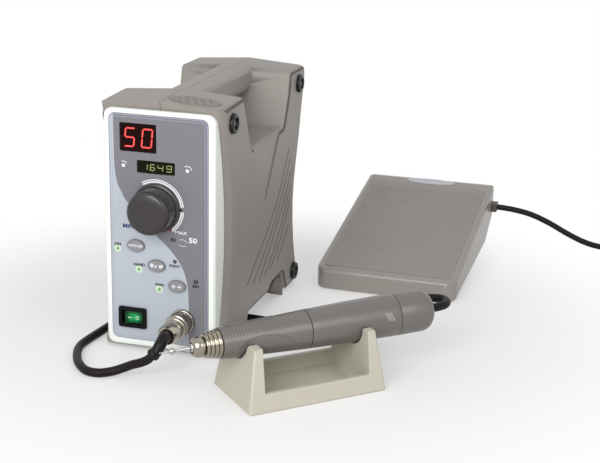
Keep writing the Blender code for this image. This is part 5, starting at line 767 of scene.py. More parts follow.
dressed(window_glass("red_window", (0.008, 0.001, 0.001), (0.5, 0.02, 0.02)), "main_display")
dressed(window_glass("green_window", (0.004, 0.005, 0.002), (0.2, 0.3, 0.02)), "small_display")
# Segments have their usual letters: a at the top, then b to f clockwise, and g in the middle.
SEGMENTS = {
    "a": ((0, 1), (1, 1)), "b": ((1, 0.5), (1, 1)), "c": ((1, 0), (1, 0.5)), "d": ((0, 0), (1, 0)),
    "e": ((0, 0), (0, 0.5)), "f": ((0, 0.5), (0, 1)), "g": ((0, 0.5), (1, 0.5))}
FIGURES = {"0": "afbecd", "1": "bc", "4": "fbgc", "5": "afgcd", "6": "afgecd", "9": "afbgcd"}
FIGURE_SLANT = math.tan(math.radians(6))
WINDOW_RIM = 0.0014


def figure_strokes(figure, low_x, high_x, low_z, high_z, stroke, gap):
    """Pointed bars of a seven-segment figure between its four edges, leaning to the right."""
    half = stroke / 2
    outlines = []
    for segment in FIGURES[figure]:
        (x0, x1), (z0, z1) = zip(*SEGMENTS[segment])
        x0, x1 = [low_x + half + (high_x - low_x - stroke) * x for x in (x0, x1)]
        z0, z1 = [low_z + half + (high_z - low_z - stroke) * z for z in (z0, z1)]
        if z0 == z1:
            bar = [(x0 + gap, z0), (x0 + gap + half, z0 - half), (x1 - gap - half, z0 - half),
                   (x1 - gap, z0), (x1 - gap - half, z0 + half), (x0 + gap + half, z0 + half)]
        else:
            bar = [(x0, z0 + gap), (x0 + half, z0 + gap + half), (x0 + half, z1 - gap - half),
                   (x0, z1 - gap), (x0 - half, z1 - gap - half), (x0 - half, z0 + gap + half)]
        outlines.append([(x + (z - low_z) * FIGURE_SLANT, z) for x, z in bar])
    return outlines


def figure_row(name, node, figures, material, bottom, top, stroke, gap):
    """A row of lit figures in front of a window, each between shares of its width and height."""
    low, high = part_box(node)
    low_x = low.x - seam_x + WINDOW_RIM
    low_z = low.z + WINDOW_RIM
    wide = high.x - low.x - WINDOW_RIM * 2
    tall = high.z - low.z - WINDOW_RIM * 2
    outlines = []
    for figure, start, end in figures:
        sides = (low_x + wide * start, low_x + wide * end, low_z + tall * bottom, low_z + tall * top)
        outlines += figure_strokes(figure, *sides, stroke, gap)
    merged(name, [flat_print(name + "_strokes", outlines)], material, slot="display_window")


figure_row(
    "speed_figures", "main_display", (("5", 0.095, 0.40), ("0", 0.575, 0.885)),
    lit("figure_red", (0.70, 0.055, 0.050), 0.45), bottom=0.15, top=0.86, stroke=0.0011, gap=0.00014)
figure_row(
    "count_figures", "small_display",
    (("1", 0.165, 0.27), ("6", 0.335, 0.47), ("4", 0.535, 0.69), ("9", 0.775, 0.92)),
    lit("figure_yellow", (0.34, 0.37, 0.14), 0.22), bottom=0.24, top=0.78, stroke=0.00042, gap=0.00005)


# Lamps: round green indicator lamps, each a clear plastic lens over its own light. Three are lit, and the two
# for FOOT and REV are off and dark.

dressed(lit("lamp_lit", (0.11, 0.24, 0.08), 0.15), "lamp_on", "lamp_hand", "lamp_forward")
lamp_dark = moulded("lamp_dark", (0.035, 0.045, 0.035), 0.22, spread=0.2, grain=900, relief=0.02, coat=0.3)
dressed(lamp_dark, "lamp_foot", "lamp_reverse")


# Push buttons: oval satin grey caps of silicone rubber that come through the label and travel a little.
# Each has a darker brow round its dished face, and a sign printed on it.

button_grey = moulded("button_grey", (0.235, 0.235, 0.250), 0.42, spread=0.05, grain=1500, relief=0.05)
button_rim = moulded("button_rim", (0.130, 0.130, 0.140), 0.42, spread=0.03, grain=1500, relief=0.03)
button_ink = printed("button_ink", (0.66, 0.66, 0.68))
BUTTON_HALF_X = 0.0064
BUTTON_HALF_Z = 0.0043
BUTTON_FOOT = 0.0015
BUTTON_SIDES = 56
PRESS_FACE = 0.00167
CAP_STEPS = (
    (0.0027, 1.0), (0.00035, 0.988), (0.00025, 0.965), (0.0001, 0.935), (0.0, 0.93), (-0.00025, 0.955),
    (0.0, 0.60), (0.00003, 0.3))
RIM_SHARE = 0.93
MOTOR_PLACE = (-0.0165, 0.0772)
MODE_PLACE = (-0.0017, 0.0644)
TURN_PLACE = (0.0130, 0.0515)


def button_cap():
    """An oval cap that is extruded from an oval disc, with a rounded brow and a dished face."""
    bpy.ops.object.select_all(action="DESELECT")
    bpy.ops.mesh.primitive_circle_add(vertices=BUTTON_SIDES, radius=1, fill_type="NGON")
    cap = bpy.context.object
    cap.data.transform(Matrix.Diagonal((BUTTON_HALF_X, BUTTON_HALF_Z, 1, 1)))
    bpy.ops.object.mode_set(mode="EDIT")
    bpy.ops.mesh.select_all(action="SELECT")
    for rise, shrink in CAP_STEPS:
        bpy.ops.mesh.extrude_region_move(TRANSFORM_OT_translate={"value": (0, 0, rise)})
        bpy.ops.transform.resize(value=(shrink, shrink, 1))
    bpy.ops.object.mode_set(mode="OBJECT")
    faced_out(40)
    return cap


def on_button(piece):
    """Move a print from the label's face to the face of a button."""
    piece.data.transform(Matrix.Translation((0, -PRESS_FACE, 0)))
    return piece


cap_model = button_cap()
for name, (x, z) in (("motor", MOTOR_PLACE), ("mode", MODE_PLACE), ("turn", TURN_PLACE)):
    cap = placed("button_cap_" + name, cap_model.data.copy())
    cap.data.transform(Matrix.Translation(on_unit(x, LABEL_FACE_Y + BUTTON_FOOT, z)) @ UPRIGHT)
    fitted(cap, button_grey, "button_" + name, "bezel_white", "button_" + name)
    cap.data.materials.append(button_rim)
    for face in cap.data.polygons:
        reach = face.center - on_unit(x, 0, z)
        if math.hypot(reach.x / BUTTON_HALF_X, reach.z / BUTTON_HALF_Z) > RIM_SHARE:
            face.material_index = 1
bpy.data.objects.remove(cap_model)
motor_word = word("MOTOR", *MOTOR_PLACE, 0.0016, 0.00012, 1.25)
merged("button_word", [on_button(motor_word)], button_ink, "button_motor", "bezel_white")
mode_marks = flat_print("mode_marks", [
    oval(-0.0047, 0.0647, 0.0013, 0.0015, 20), oval(-0.0020, 0.0641, 0.0007, 0.0011, 16), [
        (0.0002, 0.0652), (0.0030, 0.0658), (0.0034, 0.0648), (0.0022, 0.0634), (0.0008, 0.0631),
        (0.0004, 0.0640)]])
merged("button_mode_sign", [on_button(mode_marks)], button_ink, "button_mode", "bezel_white")
ARROW = (
    (-0.0036, 0.0), (-0.0019, 0.0016), (-0.0019, 0.0005), (-0.0006, 0.0005), (-0.0006, -0.0005),
    (-0.0019, -0.0005), (-0.0019, -0.0016))
turn_marks = flat_print("turn_marks", [
    [(TURN_PLACE[0] + side * x, TURN_PLACE[1] + z) for x, z in ARROW[::side]] for side in (1, -1)])
merged("button_turn_sign", [on_button(turn_marks)], button_ink, "button_turn", "bezel_white")


# Speed knob: a deep round cap moulded in dark brown-grey plastic, with a satin crown, a fine ring round its
# brow, a thin flange at its foot and a small raised mark that points along the scale.

knob_plastic = moulded("knob_plastic", (0.026, 0.021, 0.023), 0.27, spread=0.15, grain=1600, relief=0.05)
KNOB_CAP = 0.0150
KNOB_FOOT = 0.0168
KNOB_TALL = 0.0190
KNOB_BROW = 0.0035
FLANGE_ROUND = 0.0009
KNOB_TURNING = (
    (0.72, 0.00060), (0.56, 0.00036), (0.42, 0.00022), (0.41, 0.00029), (0.385, 0.00029), (0.375, 0.00018),
    (0.20, 0.00006), (0.04, 0.0))
knob_rings = [
    (0.0033, 0.0), (KNOB_FOOT - 0.0004, 0.0), (KNOB_FOOT, 0.0004),
    *arc(KNOB_FOOT - FLANGE_ROUND, 0.0013, FLANGE_ROUND, 0, 80),
    (KNOB_CAP + 0.00035, 0.0024), (KNOB_CAP + 0.00008, 0.0030), (KNOB_CAP, 0.0038),
    (KNOB_CAP - 0.0001, KNOB_TALL - 0.0048), (KNOB_CAP - 0.0001, KNOB_TALL - 0.0047),
    *arc(KNOB_CAP - KNOB_BROW, KNOB_TALL - 0.0012 - KNOB_BROW, KNOB_BROW - 0.0001, 0, 84, 8)]
knob_rings += [(KNOB_CAP * share, KNOB_TALL - 0.0004 - drop) for share, drop in KNOB_TURNING]
knob_cap = laid(ringed("knob_cap", knob_rings, 96), on_unit(KNOB_X, LABEL_FACE_Y - GAP, KNOB_Z), (0, -1, 0))
fitted(knob_cap, knob_plastic, "speed_knob", "knob_brown", "knob")
MARK_ANGLE = math.radians(-97)
MARK_ROUND = 0.0016
MARK_REACH = KNOB_FOOT - MARK_ROUND * 2 / 3
MARK_SUNK = 0.0005
mark_x = KNOB_X + MARK_REACH * math.cos(MARK_ANGLE)
mark_z = KNOB_Z + MARK_REACH * math.sin(MARK_ANGLE)
mark = ringed("knob_mark", [
    (0.0017, 0.0), (0.0017, 0.0030), (0.0015, 0.0040), (0.0011, 0.0045), (0.0004, 0.0047)], 28)
laid(mark, on_unit(mark_x, LABEL_FACE_Y - MARK_SUNK, mark_z), (0, -1, 0))
fitted(mark, knob_plastic, "speed_knob", "knob_brown")


# Mains switch: a black snap-in frame with a clear green rocker that tips in it, lit from inside. A dash and a
# ring are printed on the rocker's face.

def switch_green():
    """Clear green plastic, brightest at the lamp in its middle and darker towards its ends."""
    material, tree, shader = started(
        "rocker_glow", Emission_Strength=0.45, Roughness=0.22, Specular_IOR_Level=0.25)
    place = added(tree, "ShaderNodeTexCoord")
    centre = added(
        tree, "ShaderNodeMapping", Location=on_unit(-0.0180, -0.0028, SWITCH_Z),
        Scale=(0.0068, 0.0068, 0.0052))
    centre.vector_type = "TEXTURE"
    reach = added(tree, "ShaderNodeVectorMath", "LENGTH")
    cloud = added(tree, "ShaderNodeTexNoise", Scale=260)
    uneven = added(tree, "ShaderNodeMath", "MULTIPLY_ADD")
    uneven.inputs[1].default_value = 0.35
    ramp = added(tree, "ShaderNodeValToRGB")
    bright, dim = ramp.color_ramp.elements
    bright.position = 0.10
    bright.color = (0.03, 0.42, 0.13, 1)
    dim.position = 1.00
    dim.color = (0.001, 0.030, 0.008, 1)
    linked(
        tree, (place, "Object", centre, "Vector"), (centre, "Vector", reach, 0),
        (place, "Object", cloud, "Vector"), (cloud, "Fac", uneven, 0), (reach, "Value", uneven, 2),
        (uneven, 0, ramp, "Fac"), (ramp, "Color", shader, "Base Color"),
        (ramp, "Color", shader, "Emission Color"))
    return material


switch_black = moulded(
    "switch_black", (0.006, 0.006, 0.007), 0.30, spread=0.1, grain=1500, relief=0.04, specular=0.10)
reworked("switch_rocker", "lit_rocker", switch_green(), "mains_rocker", "rocker_green", bevel=0.00035)
reworked("switch_frame", "switch_surround", switch_black, "unit", "black_plastic", bevel=0.0001)
ROCKER_LEAN = math.radians(8)
ROCKER_PIVOT_Y = 0.0055
ROCKER_FACE = 0.0078
ROCKER_SUNK = 0.00045
RING_X = SWITCH_X + 0.0024
DASH = ((-0.0041, -0.0003), (-0.0041, 0.0003), (-0.0017, 0.0003), (-0.0017, -0.0003))
switch_marks = flat_print("switch_marks", [
    [(SWITCH_X + x, SWITCH_Z + z) for x, z in DASH],
    oval(RING_X, SWITCH_Z, 0.0011, 0.0013, 20), oval(RING_X, SWITCH_Z, 0.0007, 0.0009, 20)])
rocker_axis = on_unit(SWITCH_X, ROCKER_PIVOT_Y, 0.0)
switch_marks.data.transform(
    Matrix.Translation(rocker_axis) @ Matrix.Rotation(ROCKER_LEAN, 4, "Z") @ Matrix.Translation(-rocker_axis)
    @ Matrix.Translation((0, ROCKER_PIVOT_Y - ROCKER_FACE - LABEL_FACE_Y + ROCKER_SUNK, 0)))
rocker_ink = printed("rocker_ink", (0.55, 0.72, 0.55))
merged("rocker_signs", [switch_marks], rocker_ink, "mains_rocker", "rocker_green")


# Motor socket: a turned nickel-plated ring on the front, with the plug's knurled coupling over it. The plug's
# body behind the coupling narrows to the cord's rubber sleeve.

def plated(name, colour, roughness, stretch=(1, 1, 1), streak=600):
    """Turned and plated metal: fine tool marks change its gloss, and a slow cloud its tone."""
    material, tree, shader = started(name, Metallic=1.0)
    place = added(tree, "ShaderNodeTexCoord")
    stretched = added(tree, "ShaderNodeMapping", Scale=stretch)
    marks = added(tree, "ShaderNodeTexNoise", Scale=streak, Detail=3)
    gloss = added(tree, "ShaderNodeMapRange", To_Min=roughness - 0.05, To_Max=roughness + 0.10)
    cloud = added(tree, "ShaderNodeTexNoise", Scale=90)
    tone = two_tone(tree, colour, 0.90, 1.08)
    linked(
        tree, (place, "Object", stretched, "Vector"), (stretched, "Vector", marks, "Vector"),
        (marks, "Fac", gloss, "Value"), (gloss, "Result", shader, "Roughness"),
        (place, "Object", cloud, "Vector"), (cloud, "Fac", tone, 0), (tone, 2, shader, "Base Color"))
    return material


socket_nickel = plated("socket_nickel", (0.40, 0.375, 0.32), 0.20, (1, 8, 1))
dressed(socket_nickel, "motor_socket")
RING_RADIUS = 0.0088
RING_THICK = 0.0030
RING_BORE = 0.0055
RING_ROUND = 0.0007
socket_ring = ringed("socket_ring", [
    (0.0067, -0.0002), (RING_RADIUS - 0.0003, -0.0002), (RING_RADIUS, 0.0002),
    *arc(RING_RADIUS - RING_ROUND, RING_THICK - RING_ROUND, RING_ROUND, 0, 90), (0.0072, RING_THICK),
    (0.0069, RING_THICK - 0.0004), (RING_BORE, RING_THICK - 0.0004), (RING_BORE, -0.0050), (0.0067, -0.0050),
    (0.0067, -0.0002)], 72, through=True)
laid(socket_ring, on_unit(SOCKET_X, LABEL_FACE_Y - GAP, SOCKET_Z), (0, -1, 0))
fitted(socket_ring, socket_nickel, "unit", "nickel")

plug_nickel = plated("plug_nickel", (0.42, 0.39, 0.33), 0.17, (1, 8, 1))
COUPLING_RADIUS = 0.0084
COUPLING_LONG = 0.0130
COUPLING_BORE = 0.0057
KNURLS = 44
KNURL_START = 0.0019
KNURL_PITCH = 0.00072
KNURL_LOW = COUPLING_RADIUS - 0.0004
PLUG_FACE_Y = LABEL_FACE_Y - GAP - RING_THICK
knurl_rows = [KNURL_START + KNURL_PITCH * row for row in range(11)]
coupling = ringed("coupling_ring", [
    (COUPLING_BORE, 0.0), (COUPLING_RADIUS - 0.0010, 0.0), (KNURL_LOW, 0.0005), (KNURL_LOW, 0.0013),
    (COUPLING_RADIUS - 0.0008, 0.0016), *[(KNURL_LOW, height) for height in knurl_rows],
    (COUPLING_RADIUS - 0.0008, 0.0094), (COUPLING_RADIUS - 0.0005, 0.0098),
    (COUPLING_RADIUS - 0.0005, 0.0120), *arc(COUPLING_RADIUS - 0.0012, 0.0123, 0.0007, 0, 90, 3),
    (COUPLING_BORE, COUPLING_LONG), (COUPLING_BORE, 0.0)], KNURLS * 2, through=True)
for vert in coupling.data.vertices:
    for row, height in enumerate(knurl_rows):
        radius = vert.co.xy.length
        step = round(math.atan2(vert.co.y, vert.co.x) / math.tau * KNURLS * 2)
        if abs(vert.co.z - height) < WELD and radius > COUPLING_RADIUS - 0.0006 and (step + row) % 2:
            vert.co.xy *= COUPLING_RADIUS / radius
laid(coupling, on_unit(SOCKET_X, PLUG_FACE_Y - GAP, SOCKET_Z), (0, -1, 0))
fitted(coupling, plug_nickel, "plug_ring", "nickel", "plug_coupling")
TAIL_START = COUPLING_LONG + 0.0006
plug = ringed("plug_turned_body", [
    (0.0048, -0.0078), (0.0050, -0.0074), (0.0050, 0.0003), (0.0054, 0.0003), (0.0054, TAIL_START),
    (0.0066, TAIL_START), *arc(0.0066, TAIL_START + 0.0005, 0.0005, -90, 0, 3), (0.0071, 0.0176),
    (0.0068, 0.0179), (0.0068, 0.0186), (0.0071, 0.0189), (0.0071, 0.0228), (0.0070, 0.0234),
    (0.0062, 0.0262), (0.0058, 0.0270), (0.0045, 0.0270), (0.0040, 0.0268)])
laid(plug, on_unit(SOCKET_X, PLUG_FACE_Y, SOCKET_Z), (0, -1, 0))
fitted(plug, plug_nickel, "unit", "nickel", "plug_body")


# Bur rest: a soft grey rubber pad let into the deck in front of the handle. Its three rows of holes hold the
# shanks of spare burs upright.

rest_rubber = moulded("rest_rubber", (0.190, 0.172, 0.156), 0.50, spread=0.06, grain=1400, relief=0.07)
reworked("bur_rest", "bur_rest_pad", rest_rubber, "unit", "black_rubber")


# Rubber feet: a black bar glued under the unit's front, and a taupe block pushed into each side of its rear
# arch. Each block is cut back in a slope from the arch's front to its own toe on the bench.

foot_rubber = moulded("foot_rubber", (0.010, 0.010, 0.010), 0.55, spread=0.2, grain=1100, specular=0.2)
taupe_rubber = moulded("taupe_rubber", (0.130, 0.112, 0.100), 0.55, spread=0.10, grain=1100)
reworked("front_foot", "front_foot_bar", foot_rubber, "unit", "black_rubber", bevel=0.0003)
REAR_FOOT_TOE = 0.0035
ARCH_TALL = 0.0145
for name in ("rear_foot_left", "rear_foot_right"):
    reworked(name, name + "_block", taupe_rubber, "unit", "black_rubber")
    foot_low, foot_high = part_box(name)
    toe_y = foot_high.y - REAR_FOOT_TOE
    bpy.ops.object.mode_set(mode="EDIT")
    bpy.ops.mesh.select_all(action="SELECT")
    bpy.ops.mesh.bisect(
        plane_co=(0, toe_y, 0), plane_no=(0, ARCH_TALL, toe_y - foot_low.y), use_fill=True, clear_inner=True)
    bpy.ops.mesh.select_all(action="SELECT")
    bpy.ops.mesh.normals_make_consistent(inside=False)
    bpy.ops.object.mode_set(mode="OBJECT")


# Cradle: one injection moulding in beige satin plastic, a tray between two saddles for the handpiece. The
# four horns of the saddles stand less tall here than in the solid.

cradle_plastic = moulded("cradle_plastic", (0.475, 0.448, 0.368), 0.42, spread=0.03, relief=0.05)
HORN_FOOT = 0.0340
HORN_SHARE = 0.52
cradle = reworked(
    "cradle", "beige_cradle", cradle_plastic, "unit", "cradle_beige", smooth=38, bevel=0.0009)
for vert in cradle.data.vertices:
    if vert.co.z > HORN_FOOT:
        vert.co.z = HORN_FOOT + (vert.co.z - HORN_FOOT) * HORN_SHARE


# Handpiece nose: a turned brass cone with nickel plating. Behind its rounded tip a dark groove sets off four
# stepped ridges, and its spigot is screwed into the motor's casing.

handpiece_axis = by_cradle(0.0, 0.0, AXIS_HEIGHT)


def turned(name, rings, segments):
    """A hollow turned piece on the handpiece's axis, whose rings lead back to the first one."""
    return laid(ringed(name, [*rings, rings[0]], segments, through=True), handpiece_axis, along)


nose_nickel = plated("nose_nickel", (0.335, 0.308, 0.250), 0.13, (1, 1, 1), 700)
NOSE_FRONT = -0.0760
NOSE_STEP = -0.0685
NOSE_REAR = -0.0580
NOSE_BORE = 0.0034
SPIGOT_RADIUS = 0.0071
SPIGOT_REAR = -0.0500
RIDGE_COUNT = 4
RIDGE_GROWTH = 0.00052
RIDGE_PROFILE = (
    (-0.0004, 0.0), (0.0002, 0.0003), (0.0005, 0.0008), (0.0006, 0.0014), (0.00055, 0.0020), (0.0002, 0.0024))
nose_rings = [
    (NOSE_BORE, NOSE_FRONT), (0.0045, NOSE_FRONT), (0.0050, -0.0758), (0.0058, -0.0748), (0.0065, -0.0734),
    (0.0069, -0.0719), (0.0070, -0.0709), (0.0068, -0.0703), (0.0053, -0.0701), (0.0053, -0.0687)]
for index in range(RIDGE_COUNT):
    start = NOSE_STEP + (NOSE_REAR - NOSE_STEP) / RIDGE_COUNT * index
    low = 0.0073 + RIDGE_GROWTH * index
    nose_rings += [(low + rise, start + step) for rise, step in RIDGE_PROFILE]
nose_rings += [
    (0.0093, NOSE_REAR - 0.0002), (0.0092, NOSE_REAR), (SPIGOT_RADIUS, NOSE_REAR),
    (SPIGOT_RADIUS, SPIGOT_REAR), (NOSE_BORE, SPIGOT_REAR)]
fitted(turned("nickel_nose", nose_rings, 96), nose_nickel, "handpiece", "nickel", "nose_cone")


# Collet and bur: a slit steel collet in the nose grips the bur's ground shank.
# The bur has a slim neck, a small ball cutter and a fine point.

tool_steel = plated("tool_steel", (0.44, 0.44, 0.44), 0.20, (1, 1, 1), 900)
COLLET_RADIUS = 0.0030
COLLET_BORE = 0.0015
COLLET_FRONT = -0.0770
COLLET_REAR = -0.0400
collet = turned("slit_collet", [
    (COLLET_BORE, COLLET_FRONT), (0.0021, COLLET_FRONT), (0.0025, COLLET_FRONT + 0.0003),
    (COLLET_RADIUS, COLLET_FRONT + 0.0012), (COLLET_RADIUS, COLLET_REAR), (COLLET_BORE, COLLET_REAR)], 48)
fitted(collet, tool_steel, "spindle", "steel", "collet")
BUR_TIP = -0.0975
BUR_HEAD = -0.0890
BUR_BALL = 0.0021
BUR_SHANK = 0.0012
BUR_REAR = -0.0520
bur = ringed("ball_bur", [
    (0.0001, BUR_TIP), (0.0003, BUR_TIP + 0.0004), (0.0005, BUR_TIP + 0.0020), (0.0008, BUR_TIP + 0.0052),
    (0.0010, BUR_HEAD - 0.0021), *arc(0, BUR_HEAD, BUR_BALL, -60, 70, 13), (0.00075, BUR_HEAD + 0.0024),
    (0.0009, BUR_HEAD + 0.0045), (BUR_SHANK, COLLET_FRONT - 0.0006), (BUR_SHANK, BUR_REAR + 0.0003),
    (BUR_SHANK - 0.0003, BUR_REAR), (0.0002, BUR_REAR)], 40)
fitted(laid(bur, handpiece_axis, along), tool_steel, "bur", "steel", "bur")


# Grip: a grey satin sleeve that is twisted to open the collet. Fine ridges run over its top for the fingers,
# and a shallow oval hollow lies low on its side.

handpiece_plastic = moulded(
    "handpiece_plastic", (0.122, 0.112, 0.104), 0.29, spread=0.05, grain=2600, relief=0.025, mottle=90,
    specular=0.65)
GRIP_FRONT = NOSE_REAR + GAP
GRIP_REAR = 0.0027
GRIP_FRONT_RADIUS = 0.0100
GRIP_REAR_RADIUS = 0.0128
GRIP_BORE = 0.0088
GRIP_RINGS = 170
SEAM_EDGE = 0.0004
RIDGE_START = -0.0550
RIDGE_END = -0.0185
RIDGE_PITCH = 0.0021
RIDGE_RISE = 0.00042
RIDGE_FADE = 0.0012
REACH_DEGREES = 58
REACH_LOST = 30
REACH_NARROWS = -0.0370
HOLLOW_MIDDLE = -0.0290
HOLLOW_DEGREES = 112
HOLLOW_LONG = 0.0195
HOLLOW_WIDE = 0.0095
HOLLOW_DEEP = 0.00045


def fade_in(value, start, end):
    """A smooth step from 0 at start to 1 at end."""
    share = min(max((value - start) / (end - start), 0), 1)
    return share * share * (3 - 2 * share)


def carved(s, x, y, radius):
    """How far the grip's surface stands out at a point: finger ridges on top, and an oval hollow below."""
    from_top = abs(math.degrees(math.atan2(x, y)))
    reach = REACH_DEGREES - REACH_LOST * fade_in(s, REACH_NARROWS, RIDGE_END)
    row = fade_in(s, RIDGE_START, RIDGE_START + RIDGE_FADE) * fade_in(s, RIDGE_END, RIDGE_END - RIDGE_FADE)
    wave = 0.5 + 0.5 * math.cos(math.tau * (s - RIDGE_START) / RIDGE_PITCH)
    rise = RIDGE_RISE * row * fade_in(from_top, reach, reach - 9) * wave ** 1.3
    around = math.radians(math.degrees(math.atan2(-x, y)) - HOLLOW_DEGREES) * radius
    hollow = math.hypot((s - HOLLOW_MIDDLE) / HOLLOW_LONG, around / HOLLOW_WIDE)
    return rise - HOLLOW_DEEP * fade_in(hollow, 1.0, 0.90)


grip_rings = [(GRIP_BORE, GRIP_FRONT), (GRIP_FRONT_RADIUS - SEAM_EDGE, GRIP_FRONT)]
for step in range(GRIP_RINGS + 1):
    s = GRIP_FRONT + SEAM_EDGE + (GRIP_REAR - GRIP_FRONT - SEAM_EDGE * 2) * step / GRIP_RINGS
    taper = (GRIP_REAR_RADIUS - GRIP_FRONT_RADIUS) * (s - GRIP_FRONT) / (GRIP_REAR - GRIP_FRONT)
    grip_rings.append((GRIP_FRONT_RADIUS + taper, s))
grip_rings += [(GRIP_REAR_RADIUS - SEAM_EDGE, GRIP_REAR), (GRIP_BORE, GRIP_REAR), (GRIP_BORE, GRIP_FRONT)]
grip = ringed("ridged_grip", grip_rings, 144, through=True)
for vert in grip.data.vertices:
    radius = vert.co.xy.length
    on_side = GRIP_FRONT + SEAM_EDGE / 2 < vert.co.z < GRIP_REAR - SEAM_EDGE / 2
    if on_side and radius > GRIP_FRONT_RADIUS - SEAM_EDGE / 2:
        vert.co.xy *= (radius + carved(vert.co.z, vert.co.x, vert.co.y, radius)) / radius
fitted(laid(grip, handpiece_axis, along), handpiece_plastic, "grip", "handpiece_grey", "grip_sleeve")


# Motor casing and rear cap: turned shells in the same grey. Small pale marks beside the rear seam show how
# the cap is set, and a rubber bush in its rounded end holds the cord.

MOTOR_FRONT = 0.0030
MOTOR_MID = 0.0300
MOTOR_REAR = 0.0680
MOTOR_MID_RADIUS = 0.0137
MOTOR_REAR_RADIUS = 0.0143
CASE_BORE = 0.0111
CASE_BACK = 0.0046
INNER_TUBE = 0.0083
INNER_FRONT = -0.0574
TUBE_BORE = 0.0074
CASE_STEPS = 8
case_shares = [step / CASE_STEPS for step in range(1, CASE_STEPS + 1)]
housing_rings = [
    (INNER_TUBE, MOTOR_FRONT), (GRIP_REAR_RADIUS - SEAM_EDGE, MOTOR_FRONT),
    (GRIP_REAR_RADIUS - 0.0001, MOTOR_FRONT + 0.0001), (GRIP_REAR_RADIUS, MOTOR_FRONT + SEAM_EDGE)]
housing_rings += [
    (GRIP_REAR_RADIUS + (MOTOR_MID_RADIUS - GRIP_REAR_RADIUS) * share,
     MOTOR_FRONT + SEAM_EDGE + (MOTOR_MID - MOTOR_FRONT) * share) for share in case_shares]
housing_rings += [
    (MOTOR_MID_RADIUS + (MOTOR_REAR_RADIUS - MOTOR_MID_RADIUS) * share,
     MOTOR_MID + SEAM_EDGE + (MOTOR_REAR - MOTOR_MID - SEAM_EDGE * 2) * share) for share in case_shares]
housing_rings += [
    (MOTOR_REAR_RADIUS - 0.0001, MOTOR_REAR - 0.0001), (MOTOR_REAR_RADIUS - SEAM_EDGE, MOTOR_REAR),
    (CASE_BORE, MOTOR_REAR), (CASE_BORE, CASE_BACK), (TUBE_BORE, CASE_BACK), (TUBE_BORE, INNER_FRONT),
    (INNER_TUBE, INNER_FRONT)]
casing = turned("motor_casing", housing_rings, 112)
fitted(casing, handpiece_plastic, "handpiece", "handpiece_grey", "motor_housing")

CAP_FRONT = MOTOR_REAR + GAP
CAP_REAR = 0.0965
CAP_ROUND = 0.0085
CAP_SPIGOT = 0.0108
SPIGOT_START = 0.0600
CAP_BORE = 0.0040
cap = turned("motor_end_cap", [
    (CAP_BORE, SPIGOT_START), (CAP_SPIGOT, SPIGOT_START), (CAP_SPIGOT, CAP_FRONT),
    (MOTOR_REAR_RADIUS - SEAM_EDGE, CAP_FRONT), (MOTOR_REAR_RADIUS - 0.0001, CAP_FRONT + 0.0001),
    (MOTOR_REAR_RADIUS, CAP_FRONT + SEAM_EDGE),
    *arc(MOTOR_REAR_RADIUS - CAP_ROUND, CAP_REAR - CAP_ROUND, CAP_ROUND, 0, 84, 12), (0.0046, CAP_REAR),
    (CAP_BORE, CAP_REAR - 0.0003)], 112)
fitted(cap, handpiece_plastic, "handpiece", "handpiece_grey", "rear_cap")
BUSH_BORE = 0.0031
BUSH_RADIUS = 0.0039
bush = turned("cord_bush", [
    (BUSH_BORE, CAP_REAR - 0.0040), (BUSH_RADIUS, CAP_REAR - 0.0040), (BUSH_RADIUS, CAP_REAR - 0.0002),
    (0.0036, CAP_REAR + 0.0001), (0.0032, CAP_REAR + 0.0001), (BUSH_BORE, CAP_REAR - 0.0002)], 48)
fitted(bush, boot_rubber, "handpiece", "cord_rubber")

MARK_TURN = math.radians(72)
MARK_START = MOTOR_REAR - 0.0126
MARK_PITCH = 0.0018
MARK_WIDE = 0.0006
MARK_SLANT = 0.0028
MARK_LONG = 0.0054
mark_strokes = []
for index in range(3):
    start = MARK_START + MARK_PITCH * index
    edge = [(start + MARK_SLANT * step / 8, MARK_LONG * (step / 8 - 0.5)) for step in range(9)]
    mark_strokes.append(edge + [(x + MARK_WIDE, y) for x, y in reversed(edge)])
marks = flat_mesh("casing_marks", mark_strokes, INK * 2)
for vert in marks.data.vertices:
    s, around, proud = vert.co
    surface = MOTOR_MID_RADIUS + (
        MOTOR_REAR_RADIUS - MOTOR_MID_RADIUS) * (s - MOTOR_MID) / (MOTOR_REAR - MOTOR_MID)
    angle = MARK_TURN + around / surface
    outwards = Vector((0, 0, math.cos(angle))) - beside * math.sin(angle)
    vert.co = handpiece_axis + along * s + outwards * (surface + proud + INK)
merged("casing_marks", [marks], printed("mark_ink", (0.42, 0.41, 0.40)), "handpiece", "handpiece_grey")


# Motor: a wound stator pressed into the casing, and the spindle with its rotor. The spindle runs in two ball
# bearings and carries the collet.

dressed(plated("winding_metal", (0.30, 0.26, 0.22), 0.45, (1, 1, 12), 300), "stator")
dressed(plated("bearing_steel", (0.60, 0.60, 0.60), 0.22), "spindle", "front_bearing", "rear_bearing")


# Pedal cover: a wedge moulded in the unit's grey, with a step in its lower edge. Its wide top carries the
# mat and a plain oval badge, and a rubber gland in its right side lets the cord out.

pedal_plastic = moulded("pedal_plastic", (0.262, 0.238, 0.218), 0.30, spread=0.05, grain=2400, relief=0.06)
gland_rubber = moulded("gland_rubber", (0.085, 0.066, 0.056), 0.55, spread=0.15, grain=1200, relief=0.06)
PEDAL_X = 0.1180
PEDAL_FRONT = 0.1678
PEDAL_WIDTH = 0.1120
PEDAL_DEPTH = 0.1820
PEDAL_NOSE_TALL = 0.0172
PEDAL_TOE_TALL = 0.0520
GLAND_SUNK = 0.0002
cover = reworked("pedal_cover", "wedge_cover", pedal_plastic, "pedal_cover", "shell_grey", smooth=32)
cover.data.materials.append(gland_rubber)
gland_face = seam_x + PEDAL_X + PEDAL_WIDTH / 2 + GLAND_SUNK
for face in cover.data.polygons:
    if face.center.x > gland_face:
        face.material_index = 1

